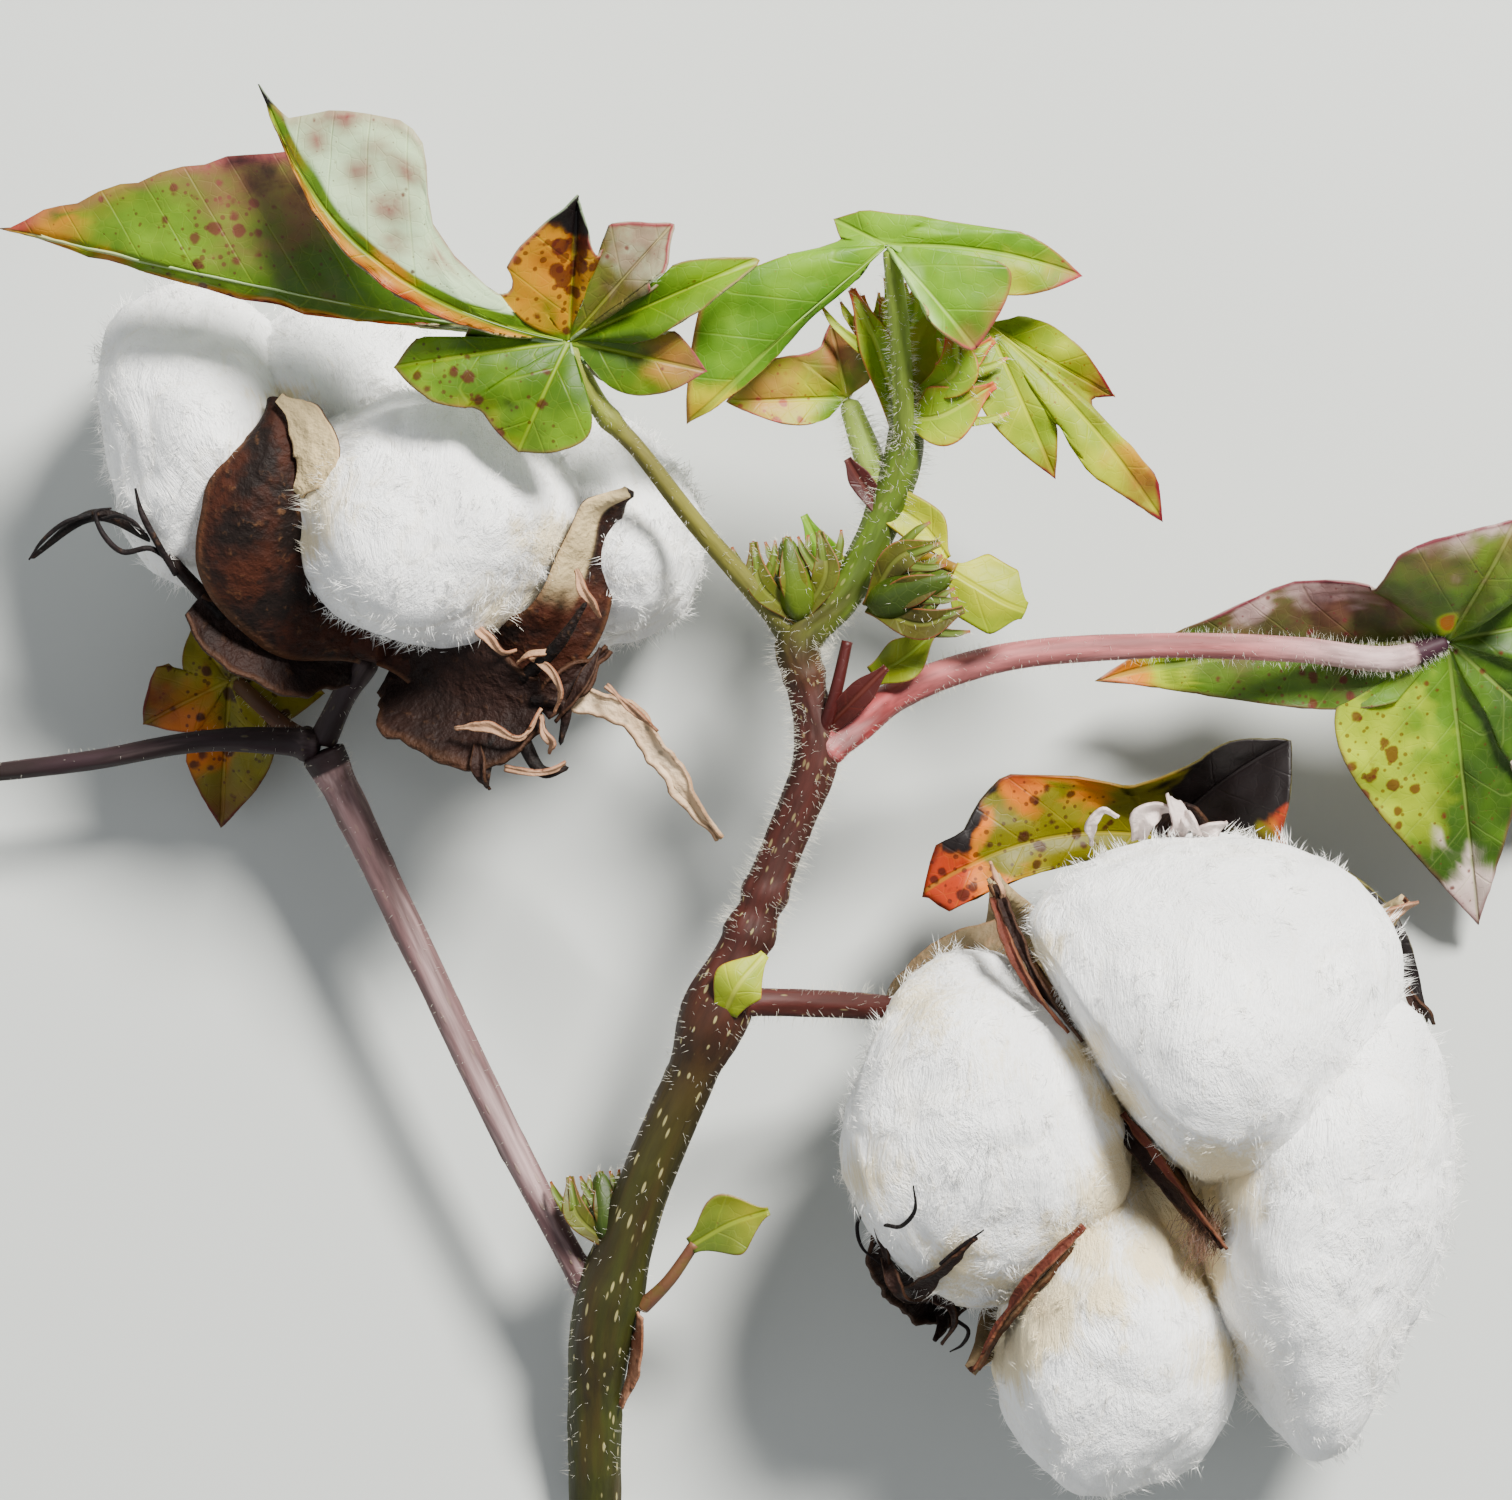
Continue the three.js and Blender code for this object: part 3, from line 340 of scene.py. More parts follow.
def add_hairs(shape, roots, directions, length, width, bend, spans=2, **values):
    """Thin three-sided hairs that taper to a point."""
    n = len(roots)
    forward = unit(directions)
    side = unit(np.cross(forward, unit(rng.normal(size=(n, 3)))))
    face = np.cross(forward, side)
    lean = (side * rng.normal(size=(n, 1)) + face * rng.normal(size=(n, 1))) * bend
    length = (length * rng.uniform(0.45, 1.15, n))[:, None]
    columns = []
    for k in range(spans):
        t = k / spans
        middle = roots + (forward * t + lean * t * t) * length
        for a in THREE_WAYS:
            columns.append(middle + (side * math.cos(a) + face * math.sin(a)) * width * (1 - 0.6 * t))
    columns.append(roots + (forward + lean) * length)
    tip = 3 * spans
    tris = np.array([[tip - 3 + j, tip - 3 + (j + 1) % 3, tip] for j in range(3)])
    start = (np.arange(n) * (tip + 1))[:, None, None]
    quads = (start + grid_quads(spans, 3, wrap=True)).reshape(-1, 4)
    shape.add(np.stack(columns, 1), quads, (start + tris).reshape(-1, 3), **values)


def scatter(points, normals, weights, count):
    """Picks places at random among points, by weight."""
    pick = rng.choice(len(points), size=count, p=weights / weights.sum())
    return points[pick] + rng.normal(size=(count, 3)) * SCATTER, normals[pick]


# Materials.


def srgb(colour):
    """A linear colour from screen values of 0 to 255."""
    c = np.array(colour) / 255
    return tuple(np.where(c <= 0.04045, c / 12.92, ((c + 0.055) / 1.055) ** 2.4).tolist())


class Wire:
    """An output of a material's node. Sums with it become nodes."""

    def __init__(self, finish, socket):
        self.finish, self.socket = finish, socket

    def __add__(self, other):
        return self.finish.math("ADD", self, other)

    def __sub__(self, other):
        return self.finish.math("SUBTRACT", self, other)

    def __mul__(self, other):
        return self.finish.math("MULTIPLY", self, other)


class Finish:
    """Builds one material out of nodes."""

    def __init__(self, name, roughness, **sockets):
        self.material = bpy.data.materials.new(name)
        self.material.use_nodes = True
        self.tree = self.material.node_tree
        self.shader = self.tree.nodes["Principled BSDF"]
        for key, value in {"Roughness": roughness, **sockets}.items():
            self.shader.inputs[key.replace("_", " ")].default_value = value
        self.place = self.node("TexCoord", "Object")

    def link(self, value, socket):
        if isinstance(value, Wire):
            self.tree.links.new(value.socket, socket)
        else:
            socket.default_value = (*srgb(value), 1) if socket.type == "RGBA" else value

    def node(self, kind, output, inputs=(), **settings):
        made = self.tree.nodes.new("ShaderNode" + kind)
        for key, value in settings.items():
            setattr(made, key, value)
        for key, value in dict(inputs).items():
            self.link(value, made.inputs[key])
        return Wire(self, made.outputs[output])

    def kept(self, name, output="Fac"):
        return self.node("Attribute", output, attribute_name=name)

    def math(self, operation, *values):
        return self.node("Math", 0, enumerate(values), operation=operation)

    def rise(self, value, low, high, to_low=0.0, to_high=1.0):
        """A smooth step of a value between two bounds."""
        names = ("Value", "From Min", "From Max", "To Min", "To Max")
        inputs = zip(names, (value, low, high, to_low, to_high))
        return self.node("MapRange", 0, inputs, interpolation_type="SMOOTHSTEP")

    def stretch(self, vector, scale):
        return self.node("VectorMath", 0, {0: vector, 1: scale}, operation="MULTIPLY")

    def noise(self, scale, detail=3.0, vector=None, rough_by=0.6):
        inputs = {"Vector": vector or self.place, "Scale": scale, "Detail": detail, "Roughness": rough_by}
        return self.node("TexNoise", "Fac", inputs)

    def cells(self, scale, vector=None, feature="F1"):
        inputs = {"Vector": vector or self.place, "Scale": scale}
        return self.node("TexVoronoi", "Distance", inputs, feature=feature)

    def mix(self, share, a, b):
        return self.node("Mix", 2, {0: share, 6: a, 7: b}, data_type="RGBA")

    def done(self, colour, height=None, depth=0.0, strength=0.6):
        """The material, once its shader has its colour and, with a height, its bumps."""
        self.link(colour, self.shader.inputs["Base Color"])
        if height:
            bump = self.node("Bump", 0, {"Strength": strength, "Distance": depth, "Height": height})
            self.link(bump, self.shader.inputs["Normal"])
        return self.material


# Materials of the plant.

CREAM, TAN = (232, 214, 170), (186, 146, 92)
VEIN_STEP = 6.5
VEIN_SLANT = 0.9


def bark(name, low, middle, top, dash, bloom=0.0, end=None):
    """Bark that changes from foot to tip, with stretched mottling and pale raised dashes."""
    f = Finish(name, 0.6, Specular_IOR_Level=0.25)
    grain, run = f.kept("grain", "Vector"), f.kept("run")
    long_grain = f.stretch(grain, (1.0, 1.0, 0.22))
    mottle, shade = f.noise(0.55, 4.0, long_grain), f.noise(0.16, 3.0, long_grain)
    base = f.mix(f.rise(run, 0.16, 0.42), low, middle)
    base = f.mix(f.rise(run, 0.62, 0.84), base, top)
    base = f.mix(f.rise(shade, 0.42, 0.66, 0.0, 0.5), base, middle)
    base = f.mix(f.rise(mottle, 0.36, 0.66), f.mix(0.5, base, (24, 16, 10)), base)
    spot = f.cells(1.0, f.stretch(grain, (1.0, 1.0, 0.36))) - mottle * 0.2
    dashes = f.rise(spot, 0.02, 0.12, 1.0, 0.0) * f.rise(run, 0.3, 0.55, 1.0, 0.35)
    base = f.mix(dashes * dash, base, (186, 176, 120))
    film = f.rise(f.noise(0.35, 4.0, f.stretch(grain, (1.0, 1.0, 0.1))), 0.45, 0.72)
    base = f.mix(film * bloom, base, (184, 158, 156))
    if end:
        base = f.mix(f.rise(run, 0.895, 0.915), base, end)
    return f.done(base, mottle + dashes * 0.5, 0.0002, 0.7)


def lint_finish(name):
    """Matt white fibre combed along each lock, with painted shade as a creamier tint in its creases, and tan
    where it is stained.
    """
    f = Finish(name, 0.95, Sheen_Weight=0.3, Sheen_Roughness=0.6)
    comb = f.stretch(f.kept("comb", "Vector"), (1.0, 0.16, 1.0))
    strands, fine, soft = f.noise(1.5, 4.0, comb, 0.7), f.noise(5.0, 3.0, comb, 0.7), f.noise(230.0, 4.0)
    # The creamier, darker tint in the creases is painted shade.
    base = f.mix(f.rise(f.kept("hollow"), 0.2, 1.0, 0.0, 0.3), (252, 252, 251), (240, 232, 212))
    stain = f.kept("stain") + (strands - 0.5) * 0.9
    base = f.mix(f.rise(stain, 0.05, 0.5), base, CREAM)
    base = f.mix(f.rise(stain, 0.6, 1.2, 0.0, 0.7), base, TAN)
    base = f.mix(f.rise(strands, 0.5, 0.8, 0.0, 0.25), base, (238, 238, 232))
    return f.done(base, strands * 1.2 + (fine * 0.6 + soft), 0.0008, 0.75)


def fibre_finish(name, colour, tip, roughness=0.6, stain=None):
    f = Finish(name, roughness, Sheen_Weight=0.2)
    base = f.mix(f.noise(160.0, 2.0), colour, tip)
    if stain:
        base = f.mix(f.rise(f.kept("stain"), 0.1, 0.8), base, stain)
    return f.done(base)


def husk_finish(name, outer, deep, lining, ridge=1.0, highlight_share=0.45):
    """Dry boll wall or bract: dark and speckled outside, with a paler lining, and paler patches and rims that
    are painted highlights.
    """
    f = Finish(name, 0.7, Specular_IOR_Level=0.2)
    broad, fine = f.noise(150.0, 4.0), f.noise(700.0, 3.0)
    skin = f.mix(f.rise(broad, 0.38, 0.66), deep, outer)
    skin = f.mix(f.rise(f.cells(620.0), 0.12, 0.3, 1.0, 0.0) * 0.7, skin, (20, 10, 6))
    # Paler fine-noise patches over the skin: a painted highlight.
    skin = f.mix(f.rise(fine, 0.58, 0.78, 0.0, highlight_share), skin, (150, 104, 66))
    cream = f.mix(f.rise(f.noise(240.0, 3.0), 0.35, 0.7), lining, f.mix(0.28, lining, (0, 0, 0)))
    lined = f.math("COMPARE", f.kept("layer"), f.kept("inner"), 0.5)
    skin = f.mix(lined * f.kept("lining"), skin, cream)
    # Paler rims along the blade edges: a painted highlight.
    skin = f.mix(f.rise(f.kept("edge"), 0.8, 1.0, 0.0, highlight_share), skin, (132, 88, 56))
    return f.done(skin, broad + fine, 0.0006 * ridge, 0.8)


def leaf_finish(name, fresh, deep, vein, turned, turned_far, pink, under, spots):
    """A leaf with pale veins, rusty spots, and places where it turns, dries or pales."""
    f = Finish(name, 0.5, Specular_IOR_Level=0.25)
    spotty = f.kept("spots")
    broad, fine = f.noise(70.0, 3.0), f.noise(420.0, 4.0)
    base = f.mix(f.rise(broad, 0.36, 0.68), deep, fresh)
    warm = f.kept("warm") + (broad - 0.5) * 0.7
    base = f.mix(f.rise(warm, 0.12, 0.6), base, turned)
    base = f.mix(f.rise(warm, 0.55, 1.05), base, turned_far)
    base = f.mix(f.rise(f.kept("pale") + (broad - 0.5) * 0.3, 0.15, 0.7), base, under)
    size = f.math("ABSOLUTE", f.kept("across"))
    slant = f.kept("along") - size * VEIN_SLANT
    beat = f.math("ABSOLUTE", f.math("FRACT", f.math("DIVIDE", slant, VEIN_STEP)) - 0.5)
    net = f.rise(f.cells(620.0, feature="DISTANCE_TO_EDGE"), 0.0, 0.07, 1.0, 0.0)
    lines = f.math("MAXIMUM", f.rise(size, 0.12, 0.42, 1.0, 0.0), f.rise(beat, 0.0, 0.04, 1.0, 0.0) * 0.4)
    lines = f.math("MAXIMUM", lines, net * 0.14)
    base = f.mix(lines * 0.4, base, vein)
    ink = f.cells(420.0) - spotty * 0.36 + (fine - 0.5) * 0.55
    base = f.mix(f.rise(ink, -0.06, 0.08, 1.0, 0.0) * 0.85, base, spots)
    speck = f.cells(900.0) + spotty * -0.25
    base = f.mix(f.rise(speck, 0.0, 0.1, 1.0, 0.0) * 0.7, base, spots)
    rim = f.rise(f.kept("edge"), 0.955, 1.0, 0.0, 0.6) + f.kept("rosy")
    rim = rim * f.rise(fine, 0.25, 0.6, 0.65, 1.0)
    base = f.mix(f.math("MINIMUM", rim, 1.0), base, pink)
    char = f.kept("dead") + (fine - 0.5) * 0.5
    base = f.mix(f.rise(char, 0.25, 0.75), base, (15, 8, 8))
    base = f.mix(f.kept("layer"), f.mix(0.45, base, under), base)
    return f.done(base, lines * -0.6 + fine * 0.4, 0.0003)


STEM_BARK = bark("stem_bark", (52, 56, 14), (62, 26, 20), (78, 102, 20), 0.6)
TWIG_BARK = bark("twig_bark", (88, 60, 62), (110, 82, 82), (124, 96, 96), 0.12, 0.8, (34, 20, 22))
DARK_TWIG_BARK = bark("dark_twig_bark", (36, 20, 24), (40, 24, 28), (34, 20, 22), 0.08, 0.15)
RED_TWIG_BARK = bark("red_twig_bark", (76, 26, 20), (66, 22, 18), (60, 30, 18), 0.3, 0.06)
ROSY_STALK = bark("rosy_stalk", (150, 46, 48), (160, 92, 92), (186, 158, 156), 0.0, 0.4, (48, 24, 34))
GREEN_STALK = bark("green_stalk", (92, 92, 40), (108, 104, 40), (140, 154, 50), 0.15, 0.05)
YOUNG_STALK = bark("young_stalk", (120, 142, 48), (128, 152, 54), (140, 164, 56), 0.0, 0.08)
BROWN_STALK = bark("brown_stalk", (62, 34, 20), (84, 48, 26), (96, 64, 34), 0.1)
LINT = lint_finish("lint_fibre")
FLUFF = fibre_finish("loose_fibre", (253, 253, 252), (246, 243, 234), 0.8, CREAM)
DOWN = fibre_finish("stem_down", (206, 200, 176), (232, 230, 218))
RUST_DOWN = fibre_finish("dark_down", (78, 46, 26), (120, 78, 46))
BURR = husk_finish("boll_wall", (54, 22, 8), (16, 6, 3), (196, 174, 130), highlight_share=0.25)
BRACT = husk_finish("dry_bract", (27, 10, 5), (7, 3, 2), (38, 17, 9), 1.4, highlight_share=0.12)
CHARRED = husk_finish("charred_tendril", (24, 14, 14), (8, 5, 6), (30, 18, 16), highlight_share=0.1)
RUDDY = husk_finish("ruddy_edge", (84, 34, 26), (40, 16, 12), (100, 48, 34), highlight_share=0.3)
BLANCHED = husk_finish("blanched_scrap", (214, 196, 190), (150, 130, 128), (226, 212, 206), highlight_share=0.1)
TOOTH = husk_finish("pale_tooth", (170, 122, 94), (112, 68, 48), (184, 148, 116), highlight_share=0.2)
STRAW = husk_finish("straw_strand", (206, 180, 148), (166, 134, 100), (222, 200, 168))
LEAF = leaf_finish(
    "green_leaf", (94, 128, 0), (54, 84, 0), (140, 160, 20), (160, 108, 0), (136, 42, 0), (122, 60, 58),
    (176, 200, 156), (64, 12, 6),
)
SHADED_LEAF = leaf_finish(
    "shaded_leaf", (80, 116, 12), (42, 68, 10), (126, 144, 64), (150, 166, 0), (184, 106, 0), (96, 40, 48),
    (190, 170, 162), (78, 22, 8),
)
YOUNG_LEAF = leaf_finish(
    "young_leaf", (100, 140, 8), (60, 100, 4), (138, 168, 50), (172, 164, 4), (180, 90, 6), (150, 56, 60),
    (150, 182, 104), (116, 44, 18),
)
YELLOW_LEAF = leaf_finish(
    "yellow_leaf", (162, 168, 0), (108, 130, 0), (176, 182, 20), (178, 136, 0), (146, 50, 4), (104, 16, 24),
    (170, 172, 50), (104, 30, 10),
)
DEAD_LEAF = leaf_finish(
    "dying_leaf", (130, 118, 0), (88, 84, 0), (138, 122, 24), (186, 96, 0), (146, 40, 0), (84, 24, 10),
    (120, 110, 46), (46, 6, 0),
)
BUD = leaf_finish(
    "green_bud", (72, 90, 10), (38, 54, 6), (110, 126, 46), (150, 104, 16), (116, 32, 10), (130, 40, 36),
    (120, 134, 54), (70, 22, 10),
)
TIP_GREEN = leaf_finish(
    "growing_green", (158, 172, 10), (106, 136, 6), (176, 184, 70), (180, 140, 10), (160, 52, 10),
    (176, 36, 44), (156, 170, 70), (110, 34, 14),
)
DARK_SCALE = leaf_finish(
    "red_scale", (66, 16, 10), (36, 9, 6), (96, 50, 34), (104, 30, 8), (80, 12, 6), (62, 14, 12),
    (124, 78, 62), (36, 7, 5),
)


# Stems, branches and stalks. A limb is its points and its radii, from foot to tip.

MAIN_STEM = ([[-18.5, -86.5, 3.2], [-18.5, -75, 8.5], [-17.5, -65.5, 13.5], [-13, -50.5, 21],
    [-7.5, -37.5, 26.5], [-4.5, -30, 29.5], [-0.5, -20.5, 31], [3.5, -10, 32], [7, 0, 33], [6, 7, 33.5],
    [5, 12.5, 34], [10, 18, 35], [14.5, 26.5, 36.5], [17, 34.5, 38], [17.5, 41, 38.5]],
    [3, 3.2, 3.8, 3.1, 2.9, 4, 2.6, 2.3, 2.6, 2.2, 2.7, 2.2, 2.1, 2.2, 1.3])
LEFT_BRANCH = ([[-17.5, -65, 14], [-22.5, -56, 15.5], [-31.5, -38.5, 16], [-41, -18.5, 17], [-47.5, -5, 18],
    [-50, 0, 18.5]], [2, 1.6, 1.8, 1.9, 2.1, 2.6])
LEFT_BRANCH_OUTER = ([[-50, 0.5, 18.5], [-54.5, 1, 18.3], [-64, 1, 17.5], [-75.5, -1, 16], [-87, -2.5, 14],
    [-93.5, -3, 12.5]], [2, 1.6, 1.25, 1.15, 1.1, 0.9])
LEFT_PEDUNCLE = ([[-50, 0.5, 18.5], [-47.5, 6, 20.5], [-44.5, 11, 22.5]], [1.6, 1.4, 1.9])
RIGHT_BRANCH = ([[-4, -29, 30], [0.5, -29, 30], [13, -29.5, 23], [23.5, -31.5, 11.5], [32, -34.5, 5.5]],
    [2, 1.6, 1.5, 1.5, 2.1])
RIGHT_PEDUNCLE = ([[32, -34.5, 5.5], [37.5, -38.5, 4.8], [42, -42, 5.5]], [1.7, 1.6, 2.2])
STEM_RINGS = [(23.5, 1.6, 0.35), (61.5, 1.2, 0.45), (64, 0.8, -0.25), (66, 1.0, 0.3), (95.5, 1.4, 0.25)]
FLAP_OUTLINE = [0, 0.04, 0.08, 0.11, 0.15, 0.19, 0.24, 0.31, 0.39, 0.5, 0.66, 0.84, 0.96, 0.94, 0.82, 0.71,
    0.56, 0.31, 0.1, 0.04, 0]
LONG_TOP = [0, 0.05, 0.22, 0.62, 0.93, 0.97, 0.87, 0.7, 0.49, 0.25, 0]
LONG_FOOT = [0, 0.48, 0.76, 0.93, 1, 0.97, 0.87, 0.7, 0.49, 0.25, 0]
BLUNT_TOP = [0, 0.35, 0.58, 0.76, 0.87, 0.93, 0.91, 0.73, 0.46, 0.46, 0.05]
BLUNT_FOOT = [0, 0.3, 0.5, 0.62, 0.7, 0.75, 0.77, 0.78, 0.79, 0.76, 0.1]
LEAVES = {
    "left_leaf": {
        "heart": [-21.5, 47, 52],
        "stalk": ([[4, 13.5, 34], [1, 17, 37], [-6.5, 25.5, 42], [-13.5, 34.5, 46.5], [-18, 39.5, 49],
            [-21.5, 46.5, 52]], [1.7, 1.3, 1.1, 1, 1.15, 1]),
        "lobes": [
            dict(tip=[-27.5, 34, 51], wide=[6.5, 8], peak=0.6, sinus=0.75),
            dict(tip=[-41.5, 44, 51], wide=[7, 5], peak=0.55),
            dict(tip=[-87, 60, 46], wide=[3, 16.5], fold=[-60, 8], swing=1, profile=[LONG_FOOT, LONG_TOP],
                sweep=[1, 2.3], apart=True),
            dict(tip=[-57, 76.5, 58], wide=[1.6, 14.5], fold=[-25, 15], swing=7, bow=7,
                profile=[None, FLAP_OUTLINE], sweep=[1, 3], sinus=0.28),
            dict(tip=[-20.5, 64, 62], wide=[8.5, 3], fold=[20, 30], bow=0, peak=0.4, sinus=0.6),
            dict(tip=[-9.5, 60.5, 60], wide=[6.5, 6], fold=[15, 40], bow=1, peak=0.6, sinus=0.5),
            dict(tip=[0.5, 56.5, 57], wide=[3.5, 3.5], fold=[15, 20], peak=0.5),
            dict(tip=[-5.5, 43.5, 52], wide=[4.5, 4.5], fold=[0, -15], bow=1, peak=0.5),
        ],
    },
    "right_leaf": {
        "heart": [79.5, 12.5, 18],
        "sinus": 0.24,
        "stalk": ([[7.5, 0, 33], [11, 2.5, 33.5], [16.5, 6.5, 33], [28, 10.5, 31], [45.5, 12, 27],
            [62.5, 11.5, 22], [73.5, 10.5, 19.5], [79.5, 12.5, 18]],
            [2.1, 2.1, 1.8, 1.6, 1.5, 1.5, 1.5, 1.1]),
        "lobes": [
            dict(tip=[39, 8, 12], wide=[7.5, 9], fold=[0, 25], swing=-1, bow=1, peak=0.28),
            dict(tip=[87.5, 26.5, 30], wide=[11, 6], fold=[20, 20], bow=3, peak=0.42, sinus=0.5),
            dict(tip=[107.5, 18, 10], wide=[9, 11], fold=[10, 10], bow=3, sinus=0.5),
            dict(tip=[99.5, -6, 4], wide=[9, 9], fold=[5, 5], bow=3, sinus=0.5),
            dict(tip=[83, -20, 4], wide=[9, 14.5], fold=[5, 5], bow=1, peak=0.24),
        ],
    },
    "top_leaf": {
        "heart": [15, 58, 48],
        "sinus": 0.5,
        "stalk": ([[17, 34, 38], [17, 38, 41], [16.5, 48.5, 46], [15.5, 58, 48]], [1.3, 1.2, 1.15, 1]),
        "lobes": [
            dict(tip=[-8, 37.5, 44], wide=[1.5, 10.5], fold=[-50, 10], peak=0.48),
            dict(tip=[9, 61, 45], wide=[2.5, 2.5], bow=1),
            dict(tip=[37.5, 54.5, 45], wide=[2.8, 4.5], fold=[10, 0], swing=1, peak=0.6, apart=True),
            dict(tip=[25.5, 46, 50], wide=[8.5, 2.6], fold=[0, 40], peak=0.7),
        ],
    },
    "yellow_leaf": {
        "heart": [26.5, 49, 40],
        "stalk": ([[17.5, 40, 38.5], [22.5, 44.5, 40], [26.5, 49, 40]], [1, 0.8, 0.8]),
        "lobes": [
            dict(tip=[41.5, 40.5, 34], wide=[3.5, 5], fold=[0, -20], bow=0, sinus=0.82),
            dict(tip=[47, 26, 36], wide=[7, 5], swing=1, bow=3, sinus=0.57),
            dict(tip=[34.5, 31, 38], wide=[4, 4.5]),
        ],
    },
    "back_leaf": {
        "heart": [10.5, 40.5, 35.5],
        "stalk": ([[15, 28, 36], [13, 33.5, 36], [10.5, 40.5, 35.5]], [1.9, 1.7, 1.2]),
        "lobes": [
            dict(tip=[-3.5, 40, 38], wide=[3, 7], fold=[0, 15], bow=1, sinus=0.65),
            dict(tip=[8.5, 49, 38], wide=[3, 4], fold=[20, 20], bow=1),
        ],
    },
    "spotted_leaf": {
        "heart": [46.5, -10, 13],
        "stalk": ([[32, -34.5, 5.5], [36.5, -26, 2], [40.5, -17, 4.5], [46, -10.5, 13]],
            [1.4, 1.2, 1.1, 1]),
        "lobes": [
            dict(tip=[19, -16.5, 20], wide=[5, 9], fold=[0, 15], swing=-3, bow=3,
                profile=[BLUNT_FOOT, BLUNT_TOP]),
            dict(tip=[61.5, 1, 25], wide=[4.5, 9], fold=[20, 15], swing=1, peak=0.6, sinus=0.55),
            dict(tip=[77.5, -31.5, 20], wide=[4, 3], fold=[-10, 10], swing=7),
        ],
    },
    "under_leaf": {
        "heart": [-60.5, 8, 10],
        "stalk": ([[-50.5, 0.5, 18], [-54.5, 3, 13.5], [-60, 8, 10]], [1.2, 1, 0.9]),
        "lobes": [
            dict(tip=[-61.5, -9, 4], wide=[6, 5], fold=[5, 5], bow=1),
            dict(tip=[-70.5, 3, 7], wide=[4, 6], fold=[0, 10], bow=1),
            dict(tip=[-65, 14, 9], wide=[4, 4], bow=1),
            dict(tip=[-54, 14, 8], wide=[4, 4], bow=1),
            dict(tip=[-49.5, 6.5, 8], wide=[4, 5], bow=1),
        ],
    },
}


def bark_relief(depth, rings, seed):
    """Furrows along a stem, and rings that stand out on it: (distance, width, height)."""

    def relief(distance, angle, radius):
        place = np.stack(np.broadcast_arrays(np.cos(angle) * 3, np.sin(angle) * 3, distance / 5), -1)
        furrows = depth * rough(place, 1.3, seed)
        lumps = depth * 1.6 * np.maximum(rough(place * [1, 1, 4], 1.6, seed + 9, 2) - 0.55, 0)
        swell = sum(height * np.exp(-(((distance - at) / width) ** 2)) for at, width, height in rings)
        return (furrows + lumps + swell) * np.minimum(1, radius / 1.2)

    return relief


DOWN_WIDTH = 0.016


def add_down(shape, limb, count, length, low=0.0, high=1.0):
    """Hairs on a limb, between two shares of its run."""
    points, normals, run = limb
    weights = ((run >= low) & (run <= high)) * (1.15 - np.abs(normals[:, 2]))
    roots, out = scatter(points, normals, weights, count)
    add_hairs(shape, roots, out + rng.normal(size=out.shape) * 0.25, length, DOWN_WIDTH, 0.2)


stem_down, stalk_down, stem = Shape(), Shape(), Shape()
limb = add_limb(stem, *MAIN_STEM, 72, 0.55, bark_relief(0.16, STEM_RINGS, 1), cut=True, blunt=(0, 1))
make(stem, "main_stem_bark", STEM_BARK, "stem", "main_stem")
add_down(stem_down, limb, 1300, 1.2, 0.02, 0.62)
add_down(stem_down, limb, 2600, 2.0, 0.42, 1.0)

# A row is (node, limb, finish, sides, rings, hairs, their length).
TWIGS = [
    ("left_branch", LEFT_BRANCH, TWIG_BARK, 40, [(2, 1.4, 0.5)], 700, 0.8),
    ("left_branch_outer", LEFT_BRANCH_OUTER, DARK_TWIG_BARK, 28, [(4, 1.2, 0.3)], 200, 0.6),
    ("left_peduncle", LEFT_PEDUNCLE, DARK_TWIG_BARK, 28, [], 80, 0.6),
    ("right_branch", RIGHT_BRANCH, RED_TWIG_BARK, 28, [(4.5, 1.2, 0.3)], 900, 1.6),
    ("right_peduncle", RIGHT_PEDUNCLE, RED_TWIG_BARK, 28, [], 100, 1.2),
]
STALKS = [
    (leaf + "_stalk", LEAVES[leaf]["stalk"], finish, 26, rings, hairs, length)
    for leaf, finish, rings, hairs, length in (
        ("left_leaf", GREEN_STALK, [(33, 1.6, 0.25)], 700, 0.8),
        ("right_leaf", ROSY_STALK, [(3, 2, 0.3)], 1600, 1.1),
        ("top_leaf", YOUNG_STALK, [], 700, 1.2),
        ("yellow_leaf", YOUNG_STALK, [], 200, 1.2),
        ("back_leaf", YOUNG_STALK, [], 900, 1.8),
        ("spotted_leaf", BROWN_STALK, [], 60, 0.7),
        ("under_leaf", BROWN_STALK, [], 60, 0.7),
    )
]


def add_twigs(rows, slot, ending, depth, far_end, down, grain_seed, relief_seed):
    for i, (node, limb, finish, sides, rings, hairs, length) in enumerate(rows):
        twig = Shape()
        relief = bark_relief(depth, rings, i + relief_seed)
        made = add_limb(twig, *limb, sides, 0.6, relief, blunt=(0.6, far_end), seed=i + grain_seed)
        make(twig, node + ending, finish, slot, node)
        add_down(down, made, hairs, length)


add_twigs(TWIGS, "twig", "_bark", 0.11, 0.6, stem_down, 2, 3)
add_twigs(STALKS, "stalk", "_skin", 0.06, 1.0, stalk_down, 12, 20)
make(stem_down, "stem_hairs", DOWN, "stem")
make(stalk_down, "stalk_hairs", DOWN, "stalk")


# Locks of lint.

